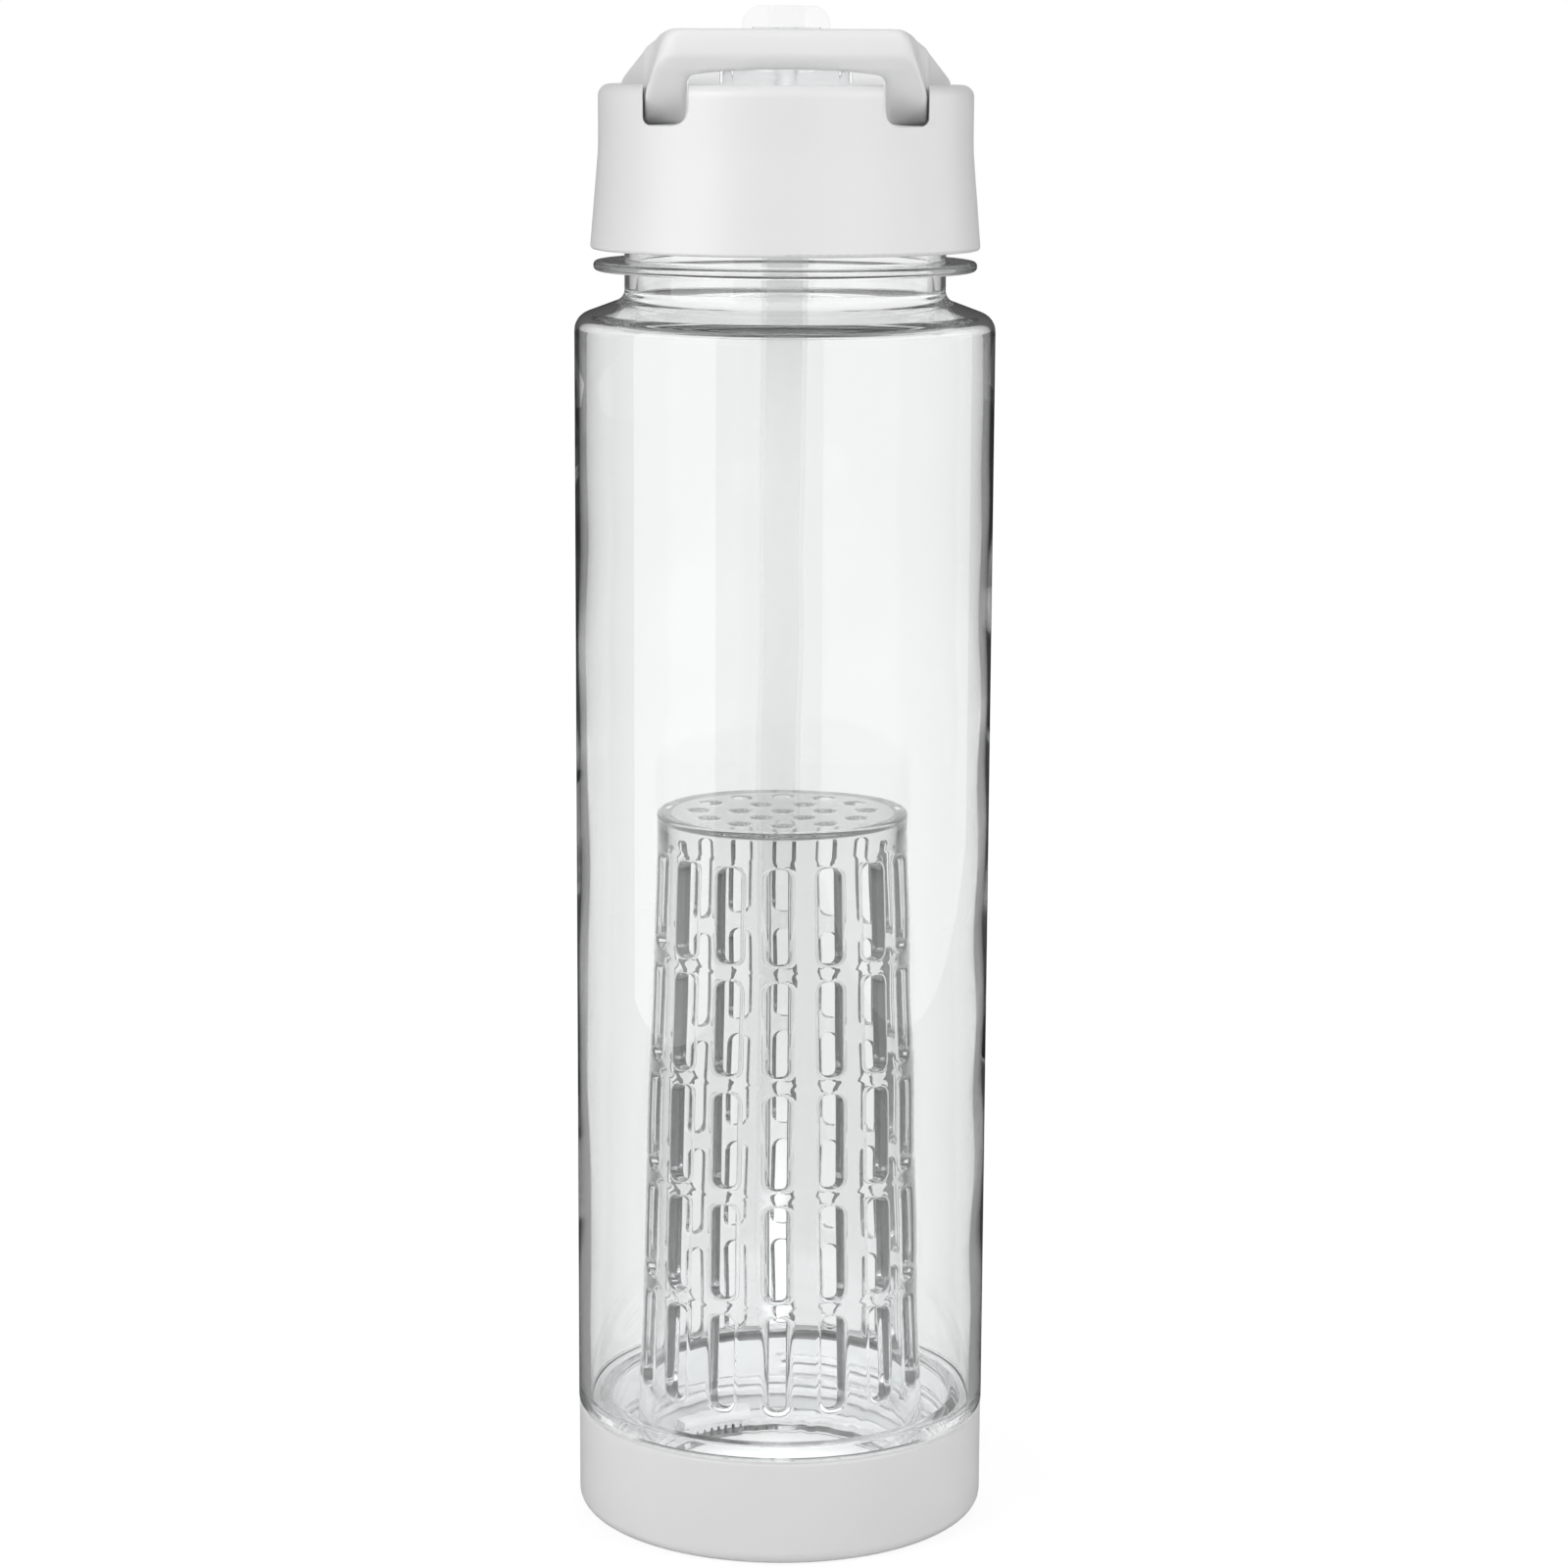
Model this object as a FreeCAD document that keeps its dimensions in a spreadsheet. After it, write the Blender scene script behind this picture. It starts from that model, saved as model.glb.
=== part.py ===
import FreeCAD, Part
import math
import os
import Sketcher

# Fruit infuser water bottle: a clear bottle with a screw lid above, and a screw base that carries the infuser.
# Millimetres, +Z up, origin at the middle of the base's foot, front towards -Y.

# Driving sizes, in millimetres unless the name says degrees
SIZES = {
    # Fits shared by several pieces
    "seat_gap": 0.05,
    "running_gap": 0.05,
    "loose_gap": 0.3,
    "joint_overlap": 0.3,
    "cut_overrun": 4.0,
    # Bottle: body, shoulder, neck and the flange under the lid
    "body_radius": 35.0,
    "body_wall": 2.0,
    "body_edge_round": 0.6,
    "shoulder_height": 205.4,
    "shoulder_slope_degrees": 20.4,
    "shoulder_round": 3.2,
    "shoulder_reach": 8.35,
    "neck_wall": 2.2,
    "neck_round": 2.0,
    "neck_length": 17.0,
    "neck_rim_round": 0.8,
    "flange_rise": 7.7,
    "flange_reach": 5.15,
    "flange_thickness": 1.6,
    "flange_round": 0.7,
    # Neck thread
    "neck_thread_lead": 5.0,
    "neck_thread_height": 1.2,
    "neck_thread_foot": 2.2,
    "neck_thread_crest": 1.0,
    "neck_thread_rise": 6.8,
    "neck_thread_clearance": 0.35,
    # Spigot under the body and its thread
    "spigot_length": 13.3,
    "spigot_wall": 2.0,
    "spigot_thread_lead": 4.0,
    "spigot_thread_height": 1.2,
    "spigot_thread_foot": 1.8,
    "spigot_thread_crest": 0.8,
    "spigot_thread_rise": 4.2,
    "spigot_thread_clearance": 0.4,
    # Base cup
    "base_height": 18.0,
    "base_inset": 0.1,
    "base_wall": 2.0,
    "base_floor": 3.0,
    "base_foot_round": 2.2,
    "base_rim_round": 0.6,
    "base_foot_ring": 8.0,
    "base_recess_depth": 0.8,
    "base_recess_slope": 0.8,
    # Bayonet claws on the base, and the basket's lugs
    "claw_thickness": 1.3,
    "claw_lip": 1.7,
    "claw_lip_reach": 1.9,
    "claw_width_degrees": 34.0,
    "lug_reach": 2.1,
    "lug_thickness": 2.0,
    "lug_width_degrees": 26.0,
    # Infuser basket
    "basket_foot_gap": 0.2,
    "basket_taper": 3.75,
    "basket_top_height": 122.2,
    "basket_wall": 2.0,
    "basket_top_thickness": 2.2,
    "basket_top_round": 1.8,
    "slot_width": 4.5,
    "slot_length": 16.2,
    "slot_corner": 1.2,
    "slot_pitch": 19.1,
    "slot_top_margin": 6.2,
    "drain_radius": 1.7,
    # Seals of the base and the lid
    "gasket_thickness": 2.0,
    "lid_gasket_side_gap": 0.2,
    # Lid: liner with the thread, shell with deck and rim
    "liner_wall": 1.15,
    "liner_plate": 1.4,
    "liner_skirt_rise": 0.6,
    "nipple_radius": 3.0,
    "nipple_length": 10.0,
    "drink_bore_radius": 2.0,
    "lid_wall": 1.55,
    "lid_flare": 1.4,
    "lid_flare_height": 16.4,
    "lid_flare_round": 40.0,
    "lid_skirt_round": 0.6,
    "lid_deck": 1.4,
    "lid_lift_gap": 1.9,
    "rim_wall": 2.95,
    "rim_height": 7.0,
    "rim_outer_round": 2.0,
    "rim_inner_round": 0.7,
    # Flip spout, its cradle and its seal
    "barrel_radius": 4.5,
    "barrel_deck_gap": 0.7,
    "barrel_half_length": 8.7,
    "barrel_edge_round": 0.3,
    "groove_width": 0.3,
    "groove_depth": 0.8,
    "disc_radius": 4.0,
    "disc_width": 1.5,
    "disc_edge_round": 0.5,
    "journal_radius": 1.6,
    "journal_end_gap": 0.2,
    "stem_width": 11.4,
    "stem_depth": 5.2,
    "stem_grip": 5.6,
    "cradle_gap": 0.4,
    "cradle_wall": 5.1,
    "cradle_half_depth": 4.4,
    "cradle_rise": 4.1,
    "cradle_round": 2.4,
    "spout_seal_radius": 4.55,
    "spout_seal_height": 3.1,
    "spout_seal_gap": 0.2,
    # Mouthpiece
    "mouthpiece_width": 14.5,
    "mouthpiece_depth": 8.4,
    "mouthpiece_gap": 0.9,
    "mouthpiece_height": 9.1,
    "mouthpiece_round": 3.0,
    "mouth_slot_width": 6.0,
    "mouth_slot_depth": 2.0,
    # Vent valve
    "vent_edge_gap": 3.0,
    "vent_angle_degrees": 42.7,
    "vent_stem_radius": 1.15,
    "vent_disc_radius": 3.75,
    "vent_disc_edge": 0.75,
    "vent_disc_crown": 0.5,
    "vent_bulb_radius": 1.9,
    "vent_bulb_height": 1.85,
    "vent_bulb_tip_radius": 0.9,
    "vent_air_hole_radius": 0.5,
    "vent_air_hole_ring": 2.5,
    # Carry handle and its pivots in the rim
    "pivot_radius": 2.0,
    "pivot_end_gap": 0.2,
    "pivot_cover": 1.15,
    "handle_side_gap": 0.8,
    "handle_arm": 4.8,
    "handle_deck_gap": 0.4,
    "handle_rear": 3.0,
    "handle_rear_round": 2.8,
    "handle_rear_top_rise": 1.3,
    "handle_shoulder_reach": 1.5,
    "handle_knee_run": 13.8,
    "handle_knee_step": 4.5,
    "handle_knee_arm": 5.1,
    "handle_bar_step": 7.0,
    "handle_bar_arm": 4.5,
    "handle_bar_overhang": 0.8,
    "handle_bar_depth": 5.3,
    "handle_bar_round": 3.0,
    "handle_bar_rise": 12.6,
    "handle_bar_top_run": 7.3,
    "handle_bar_chin_rise": 7.9,
    "handle_bar_under_rise": 6.0,
    "handle_bar_under_run": 2.3,
    "handle_leg_run": 12.6,
    "handle_top_rear_rise": 4.3,
    "handle_top_rear_reach": 1.0,
    "handle_edge_round": 1.4,
    "handle_slope_round": 3.0,
    "handle_arch_side_rise": 4.6,
    "handle_arch_apex_rise": 7.35,
    "handle_arch_round": 84.0,
    # Notches in the rim where the arms pass
    "notch_inner_gap": 0.3,
    "notch_outer_gap": 0.2,
    "notch_sill": 0.5,
    "notch_inner_round": 2.8,
    "notch_outer_round": 1.4,
    # Straw
    "straw_wall": 0.87,
    "straw_room_gap": 0.1,
    "straw_socket_gap": 0.03,
    "straw_top_gap": 0.1,
    "straw_foot_clearance": 1.0,
    "straw_upper_rise": 0.9,
    "straw_lower_drop": 4.2,
    "straw_bend_radius": 60.0,
    "straw_swing_degrees": 1.73,
}

NECK_THREAD_TURNS = 1.25
SPIGOT_THREAD_TURNS = 1.25
SLOT_COLUMNS = 16
DRAINS_INNER = 6
DRAINS_OUTER = 12
DRAIN_INNER_SHARE = 0.337
DRAIN_OUTER_SHARE = 0.665
CLAWS = 3
VENT_AIR_HOLES = 3
PIVOTS = 2
FULL_TURN_DEGREES = 360.0

# Sketch references: the origin point, and the axes that a zero coordinate lies on
ORIGIN = -1
X_LINE = -1
Y_LINE = -2
START = 1
END = 2
CENTRE = 3


class Size:
    """A length worked out from the sheet: its number, and the expression that gives it."""

    def __init__(self, value, text):
        self.value = value
        self.text = text

    def __add__(self, other):
        return Size(self.value + number(other), f"({self.text} + {wording(other)})")

    def __radd__(self, other):
        return Size(number(other) + self.value, f"({wording(other)} + {self.text})")

    def __sub__(self, other):
        return Size(self.value - number(other), f"({self.text} - {wording(other)})")

    def __rsub__(self, other):
        return Size(number(other) - self.value, f"({wording(other)} - {self.text})")

    def __mul__(self, other):
        return Size(self.value * number(other), f"({self.text} * {wording(other)})")

    __rmul__ = __mul__

    def __truediv__(self, other):
        return Size(self.value / number(other), f"({self.text} / {wording(other)})")

    def __neg__(self):
        return Size(-self.value, f"(-{self.text})")


def number(size):
    return size.value if isinstance(size, Size) else float(size)


def wording(size):
    return size.text if isinstance(size, Size) else repr(float(size))


def tangent_of(angle):
    return Size(math.tan(math.radians(angle.value)), f"tan({angle.text} * 1 deg)")


def cosine_of(angle):
    return Size(math.cos(math.radians(angle.value)), f"cos({angle.text} * 1 deg)")


def sine_of(angle):
    return Size(math.sin(math.radians(angle.value)), f"sin({angle.text} * 1 deg)")


doc = FreeCAD.newDocument("infuser_bottle")
sheet = doc.addObject("Spreadsheet::Sheet", "Sizes")


class Sheet:
    """The driving sizes by name."""


s = Sheet()
for row, (alias, millimetres) in enumerate(SIZES.items(), start=1):
    sheet.set(f"A{row}", alias)
    sheet.set(f"B{row}", str(millimetres))
    sheet.setAlias(f"B{row}", alias)
    setattr(s, alias, Size(millimetres, f"Sizes.{alias}"))
doc.recompute()


def bind(thing, name, size):
    """Tie one property of a feature to the sheet."""
    if isinstance(size, Size):
        thing.setExpression(name, size.text)
    else:
        setattr(thing, name, size)


def new_body(label):
    body = doc.addObject("PartDesign::Body", label)
    body.Label = label
    return body


def origin_part(body, role):
    return next(part for part in body.Origin.OriginFeatures if part.Role == role)


def new_sketch(body, plane, name, offset=None):
    """A sketch on one of the body's own origin planes, lifted off it by the offset."""
    sketch = body.newObject("Sketcher::SketchObject", f"{body.Label}_{name}")
    sketch.AttachmentSupport = [(origin_part(body, plane), "")]
    sketch.MapMode = "FlatFace"
    if offset is not None:
        sketch.setExpression("AttachmentOffset.Base.z", offset.text)
    return sketch


def measure(sketch, constraint, size):
    index = sketch.addConstraint(constraint)
    sketch.setExpression(f"Constraints[{index}]", size.text)


def hold(sketch, shape, point, x, y):
    """Hold a point of a sketch shape at x, y from the sketch's origin."""
    for kind, axis, size in (("DistanceX", Y_LINE, x), ("DistanceY", X_LINE, y)):
        if not isinstance(size, Size):
            sketch.addConstraint(Sketcher.Constraint("PointOnObject", shape, point, axis))
        elif size.value < 0:
            measure(sketch, Sketcher.Constraint(kind, shape, point, ORIGIN, START, -size.value), -size)
        else:
            measure(sketch, Sketcher.Constraint(kind, ORIGIN, START, shape, point, size.value), size)


def circle(sketch, x, y, radius):
    centre = FreeCAD.Vector(number(x), number(y), 0)
    shape = sketch.addGeometry(Part.Circle(centre, FreeCAD.Vector(0, 0, 1), radius.value), False)
    hold(sketch, shape, CENTRE, x, y)
    measure(sketch, Sketcher.Constraint("Radius", shape, radius.value), radius)


def outline(sketch, corners, closed=True):
    """Straight runs through the corners (x, y) or (x, y, round), with a tangent arc where one has a round."""
    spots = [FreeCAD.Vector(number(corner[0]), number(corner[1]), 0) for corner in corners]
    count = len(corners)
    arrive = list(spots)
    leave = list(spots)
    arcs = {}
    for i, corner in enumerate(corners):
        if len(corner) < 3:
            continue
        back = (spots[i - 1] - spots[i]).normalize()
        ahead = (spots[(i + 1) % count] - spots[i]).normalize()
        half_angle = back.getAngle(ahead) / 2
        run = corner[2].value / math.tan(half_angle)
        arrive[i] = spots[i] + back * run
        leave[i] = spots[i] + ahead * run
        middle = spots[i] + (back + ahead).normalize() * (corner[2].value / math.sin(half_angle))
        turns_left = ahead.cross(back).z > 0
        first, last = (arrive[i], leave[i]) if turns_left else (leave[i], arrive[i])
        first_angle = math.atan2(first.y - middle.y, first.x - middle.x)
        last_angle = math.atan2(last.y - middle.y, last.x - middle.x)
        ring = Part.Circle(middle, FreeCAD.Vector(0, 0, 1), corner[2].value)
        arcs[i] = (Part.ArcOfCircle(ring, first_angle, last_angle), turns_left)
    runs = count if closed else count - 1
    lines = []
    for i in range(runs):
        line = Part.LineSegment(leave[i], arrive[(i + 1) % count])
        lines.append(sketch.addGeometry(line, False))
    for i, corner in enumerate(corners):
        if not closed and i in (0, count - 1):
            line, end = (lines[0], START) if i == 0 else (lines[-1], END)
            hold(sketch, line, end, corner[0], corner[1])
            continue
        line_in = lines[i - 1]
        line_out = lines[i]
        if i not in arcs:
            sketch.addConstraint(Sketcher.Constraint("Coincident", line_in, END, line_out, START))
            hold(sketch, line_out, START, corner[0], corner[1])
            continue
        shape, turns_left = arcs[i]
        arc = sketch.addGeometry(shape, False)
        arc_in, arc_out = (START, END) if turns_left else (END, START)
        sketch.addConstraint(Sketcher.Constraint("Tangent", line_in, END, arc, arc_in))
        sketch.addConstraint(Sketcher.Constraint("Tangent", arc, arc_out, line_out, START))
        measure(sketch, Sketcher.Constraint("Radius", arc, corner[2].value), corner[2])
        tip = sketch.addGeometry(Part.Point(spots[i]), True)
        sketch.addConstraint(Sketcher.Constraint("PointOnObject", tip, START, line_in))
        sketch.addConstraint(Sketcher.Constraint("PointOnObject", tip, START, line_out))
        hold(sketch, tip, START, corner[0], corner[1])


def box(x_low, x_high, y_low, y_high):
    return [(x_low, y_low), (x_high, y_low), (x_high, y_high), (x_low, y_high)]


def lozenge(width, depth):
    """The corners of a rectangle about the origin whose short sides are full rounds."""
    tip_round = depth / 2 - s.seat_gap
    return [
        (-width / 2, -depth / 2, tip_round),
        (width / 2, -depth / 2, tip_round),
        (width / 2, depth / 2, tip_round),
        (-width / 2, depth / 2, tip_round),
    ]


def revolve(body, name, corners, axis="V_Axis", sweep_degrees=None):
    """Turn an outline of the front plane about an axis: a full turn, or a part of one to both sides."""
    sketch = new_sketch(body, "XZ_Plane", f"{name}_outline")
    outline(sketch, corners)
    feature = body.newObject("PartDesign::Revolution", f"{body.Label}_{name}")
    feature.Profile = sketch
    feature.ReferenceAxis = (sketch, [axis])
    if sweep_degrees is None:
        feature.Angle = FULL_TURN_DEGREES
    else:
        feature.Midplane = True
        bind(feature, "Angle", sweep_degrees)
    return feature


def thread(body, name, corners, lead, turns):
    """A right-hand thread ridge: an outline of the front plane carried up a helix."""
    sketch = new_sketch(body, "XZ_Plane", f"{name}_outline")
    outline(sketch, corners)
    feature = body.newObject("PartDesign::AdditiveHelix", f"{body.Label}_{name}")
    feature.Profile = sketch
    feature.ReferenceAxis = (sketch, ["V_Axis"])
    feature.Mode = "pitch-turns-angle"
    bind(feature, "Pitch", lead)
    feature.Turns = turns
    return feature


def around(body, feature, name, count):
    """Repeat a feature evenly about the upright axis."""
    pattern = body.newObject("PartDesign::PolarPattern", f"{body.Label}_{name}")
    pattern.Originals = [feature]
    pattern.Axis = (origin_part(body, "Z_Axis"), [""])
    pattern.Angle = FULL_TURN_DEGREES
    pattern.Occurrences = count
    body.Tip = pattern
    return pattern


def pad(body, sketch, name, length, reverse=False):
    feature = body.newObject("PartDesign::Pad", f"{body.Label}_{name}")
    feature.Profile = sketch
    feature.Reversed = reverse
    bind(feature, "Length", length)
    return feature


def cut(body, sketch, name, length, reverse=False, both_sides=False):
    """Cut a sketch's area away along its normal, and make sure that something was cut."""
    doc.recompute()
    volume_before = body.Shape.Volume
    feature = body.newObject("PartDesign::Pocket", f"{body.Label}_{name}")
    feature.Profile = sketch
    feature.Reversed = reverse
    if both_sides:
        feature.SideType = "Symmetric"
    bind(feature, "Length", length)
    doc.recompute()
    if not body.Shape.Volume < volume_before:
        raise ValueError(f"{feature.Name} cuts nothing")
    return feature


def ridge_outline(foot_radius, crest_radius, height, foot, crest):
    """A thread ridge's section at a height, with its foot sunk a little into the wall."""
    outwards = 1 if crest_radius.value > foot_radius.value else -1
    root = foot_radius - s.joint_overlap * outwards
    return [
        (root, height - foot / 2),
        (foot_radius, height - foot / 2),
        (crest_radius, height - crest / 2),
        (crest_radius, height + crest / 2),
        (foot_radius, height + foot / 2),
        (root, height + foot / 2),
    ]


# Heights and radii that the pieces share
body_bottom = s.base_height + s.loose_gap
body_bore = s.body_radius - s.body_wall
neck_radius = s.body_radius - s.shoulder_reach
neck_bore = neck_radius - s.neck_wall
neck_thread_radius = neck_radius + s.neck_thread_height
flange_height = s.shoulder_height + s.flange_rise
flange_top = flange_height + s.flange_thickness
neck_top = flange_top + s.neck_length
neck_thread_start = flange_top + s.neck_thread_rise

base_radius = s.body_radius - s.base_inset
base_bore = base_radius - s.base_wall
spigot_radius = base_bore - s.spigot_thread_height - s.spigot_thread_clearance
spigot_bore = spigot_radius - s.spigot_wall
spigot_bottom = body_bottom - s.spigot_length
spigot_thread_start = spigot_bottom + s.spigot_thread_rise

liner_bore = neck_thread_radius + s.neck_thread_clearance
liner_radius = liner_bore + s.liner_wall
plate_bottom = neck_top + s.gasket_thickness
plate_top = plate_bottom + s.liner_plate
lid_bore = liner_radius + s.seat_gap
lid_radius = lid_bore + s.lid_wall
lid_bottom = flange_top + s.lid_lift_gap
deck_top = plate_top + s.lid_deck
rim_bore = lid_radius - s.rim_wall
rim_top = deck_top + s.rim_height
seat_radius = s.spout_seal_radius + s.seat_gap
vent_hole_radius = s.vent_stem_radius + s.seat_gap
vent_offset = neck_bore - s.vent_edge_gap - s.vent_disc_radius
vent_x = -vent_offset * cosine_of(s.vent_angle_degrees)
vent_y = vent_offset * sine_of(s.vent_angle_degrees)

spout_axis = deck_top + s.barrel_radius + s.barrel_deck_gap
disc_end = s.barrel_half_length + s.groove_width + s.disc_width
cradle_inner = disc_end + s.cradle_gap
cradle_outer = cradle_inner + s.cradle_wall
mouthpiece_bottom = s.barrel_radius + s.mouthpiece_gap
mouthpiece_top = mouthpiece_bottom + s.mouthpiece_height
stem_top = mouthpiece_bottom + s.stem_grip

pivot_height = deck_top + s.handle_rear + s.handle_deck_gap
pivot_hole_end = lid_radius - s.pivot_cover
handle_side = rim_bore - s.handle_side_gap
handle_front = rim_bore + s.handle_bar_overhang
handle_knee_half = handle_side - s.handle_knee_step
handle_bar_half = handle_side - s.handle_bar_step
handle_window_half = handle_bar_half - s.handle_bar_arm

straw_radius = s.nipple_radius + s.straw_socket_gap + s.straw_wall
straw_foot = body_bottom + s.body_wall + s.straw_foot_clearance
straw_top = plate_bottom - s.straw_top_gap
basket_bottom = s.base_floor + s.basket_foot_gap
basket_foot_radius = body_bore - 2 * straw_radius - s.straw_room_gap
basket_top_radius = basket_foot_radius - s.basket_taper
basket_slope = s.basket_taper / (s.basket_top_height - basket_bottom)
basket_radius_at_straw = basket_foot_radius - basket_slope * (straw_foot - basket_bottom)
straw_offset = (body_bore + basket_radius_at_straw) / 2
lug_radius = basket_foot_radius + s.lug_reach
lug_top = basket_bottom + s.lug_thickness


def make_bottle_body():
    """One clear blow moulding: wall, shoulder, neck, and the spigot that the base screws on."""
    body = new_body("bottle_body")
    slope = tangent_of(s.shoulder_slope_degrees)
    wall_shift = s.body_wall / cosine_of(s.shoulder_slope_degrees)
    neck_foot = s.shoulder_height + (s.body_radius - neck_radius) * slope
    inner_shoulder = s.shoulder_height + (s.body_radius - body_bore) * slope - wall_shift
    inner_neck_foot = s.shoulder_height + (s.body_radius - neck_bore) * slope - wall_shift
    revolve(body, "wall", [
        (spigot_bore, spigot_bottom),
        (spigot_radius, spigot_bottom),
        (spigot_radius, body_bottom),
        (s.body_radius, body_bottom, s.body_edge_round),
        (s.body_radius, s.shoulder_height, s.shoulder_round),
        (neck_radius, neck_foot, s.neck_round),
        (neck_radius, flange_height),
        (neck_radius + s.flange_reach, flange_height, s.flange_round),
        (neck_radius + s.flange_reach, flange_top, s.flange_round),
        (neck_radius, flange_top),
        (neck_radius, neck_top, s.neck_rim_round),
        (neck_bore, neck_top, s.neck_rim_round),
        (neck_bore, inner_neck_foot, s.neck_round),
        (body_bore, inner_shoulder, s.shoulder_round),
        (body_bore, body_bottom + s.body_wall, s.body_edge_round),
        (spigot_bore, body_bottom + s.body_wall, s.body_edge_round),
    ])
    neck_ridge = ridge_outline(
        neck_radius, neck_thread_radius, neck_thread_start, s.neck_thread_foot, s.neck_thread_crest)
    thread(body, "neck_thread", neck_ridge, s.neck_thread_lead, NECK_THREAD_TURNS)
    spigot_ridge = ridge_outline(
        spigot_radius, spigot_radius + s.spigot_thread_height, spigot_thread_start,
        s.spigot_thread_foot, s.spigot_thread_crest)
    thread(body, "spigot_thread", spigot_ridge, s.spigot_thread_lead, SPIGOT_THREAD_TURNS)
    return body


def make_base_cup():
    """The white screw base: a shallow cup with a ring foot, an inside thread and three bayonet claws."""
    body = new_body("base_cup")
    ring_edge = base_radius - s.base_foot_ring
    revolve(body, "cup", [
        (0, s.base_recess_depth),
        (ring_edge - s.base_recess_slope, s.base_recess_depth),
        (ring_edge, 0),
        (base_radius, 0, s.base_foot_round),
        (base_radius, s.base_height, s.base_rim_round),
        (base_bore, s.base_height, s.base_rim_round),
        (base_bore, s.base_floor),
        (0, s.base_floor),
    ])
    ridge = ridge_outline(
        base_bore, base_bore - s.spigot_thread_height, spigot_thread_start - s.spigot_thread_lead / 2,
        s.spigot_thread_foot, s.spigot_thread_crest)
    thread(body, "thread", ridge, s.spigot_thread_lead, SPIGOT_THREAD_TURNS)
    claw_inner = lug_radius + s.loose_gap
    claw_outer = claw_inner + s.claw_thickness
    lip_bottom = lug_top + s.loose_gap
    lip_top = lip_bottom + s.claw_lip
    root = s.base_floor - s.joint_overlap
    claw = revolve(body, "claw", [
        (claw_inner, root),
        (claw_outer, root),
        (claw_outer, lip_top),
        (claw_inner - s.claw_lip_reach, lip_top),
        (claw_inner - s.claw_lip_reach, lip_bottom),
        (claw_inner, lip_bottom),
    ], sweep_degrees=s.claw_width_degrees)
    around(body, claw, "claws", CLAWS)
    return body


def make_base_gasket():
    """Flat silicone ring between the spigot's edge and the base's floor."""
    body = new_body("base_gasket")
    revolve(body, "ring", box(spigot_bore, spigot_radius, s.base_floor, spigot_bottom))
    return body


def make_infuser_basket():
    """The clear infuser: a tapered cup upside down, with slots all round and drain holes in its top."""
    body = new_body("infuser_basket")
    inner_top = s.basket_top_height - s.basket_top_thickness
    inner_top_radius = basket_top_radius + basket_slope * s.basket_top_thickness - s.basket_wall
    revolve(body, "wall", [
        (basket_foot_radius - s.basket_wall, basket_bottom),
        (basket_foot_radius, basket_bottom),
        (basket_top_radius, s.basket_top_height, s.basket_top_round),
        (0, s.basket_top_height),
        (0, inner_top),
        (inner_top_radius, inner_top),
    ])
    lug = revolve(body, "lug", box(
        basket_foot_radius - s.joint_overlap, lug_radius, basket_bottom, lug_top),
        sweep_degrees=s.lug_width_degrees)
    around(body, lug, "lugs", CLAWS)
    middle = new_sketch(body, "XY_Plane", "drain_middle")
    circle(middle, 0, 0, s.drain_radius)
    through_top = s.basket_top_height + s.cut_overrun
    cut(body, middle, "drain_middle_cut", through_top, reverse=True)
    for share, count in ((DRAIN_INNER_SHARE, DRAINS_INNER), (DRAIN_OUTER_SHARE, DRAINS_OUTER)):
        drain = new_sketch(body, "XY_Plane", f"drain_{count}")
        circle(drain, basket_top_radius * share, 0, s.drain_radius)
        drain_cut = cut(body, drain, f"drain_{count}_cut", through_top, reverse=True)
        around(body, drain_cut, f"drain_{count}_ring", count)
    slots = new_sketch(body, "XZ_Plane", "slots")
    half = s.slot_width / 2
    slot_space = s.basket_top_height - s.slot_top_margin - straw_foot
    rib = s.slot_pitch - s.slot_length
    rows = int((slot_space.value + rib.value) / s.slot_pitch.value)
    for row in range(rows):
        high = s.basket_top_height - s.slot_top_margin - s.slot_pitch * row
        low = high - s.slot_length
        outline(slots, [
            (-half, low + s.slot_corner),
            (s.slot_corner - half, low),
            (half - s.slot_corner, low),
            (half, low + s.slot_corner),
            (half, high - s.slot_corner),
            (half - s.slot_corner, high),
            (s.slot_corner - half, high),
            (-half, high - s.slot_corner),
        ])
    slot_cut = cut(body, slots, "slot_cut", basket_foot_radius + s.cut_overrun, reverse=True)
    around(body, slot_cut, "slot_columns", SLOT_COLUMNS)
    return body


def make_lid_gasket():
    """Flat silicone ring that the lid presses on the neck's rim."""
    body = new_body("lid_gasket")
    outer = liner_bore - s.lid_gasket_side_gap
    revolve(body, "ring", box(neck_bore - s.lid_gasket_side_gap, outer, neck_top, plate_bottom))
    return body


def vent_holes(body, low, high):
    """The valve's stem hole and the small air holes round it, through a plate from low to high."""
    holes = new_sketch(body, "XY_Plane", "vent_holes", low - s.cut_overrun)
    circle(holes, vent_x, vent_y, vent_hole_radius)
    for i in range(VENT_AIR_HOLES):
        angle = 2 * math.pi * i / VENT_AIR_HOLES
        x = vent_x + s.vent_air_hole_ring * math.cos(angle)
        y = vent_y + s.vent_air_hole_ring * math.sin(angle)
        circle(holes, x, y, s.vent_air_hole_radius)
    cut(body, holes, "vent_cut", high - low + 2 * s.cut_overrun, reverse=True)


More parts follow.
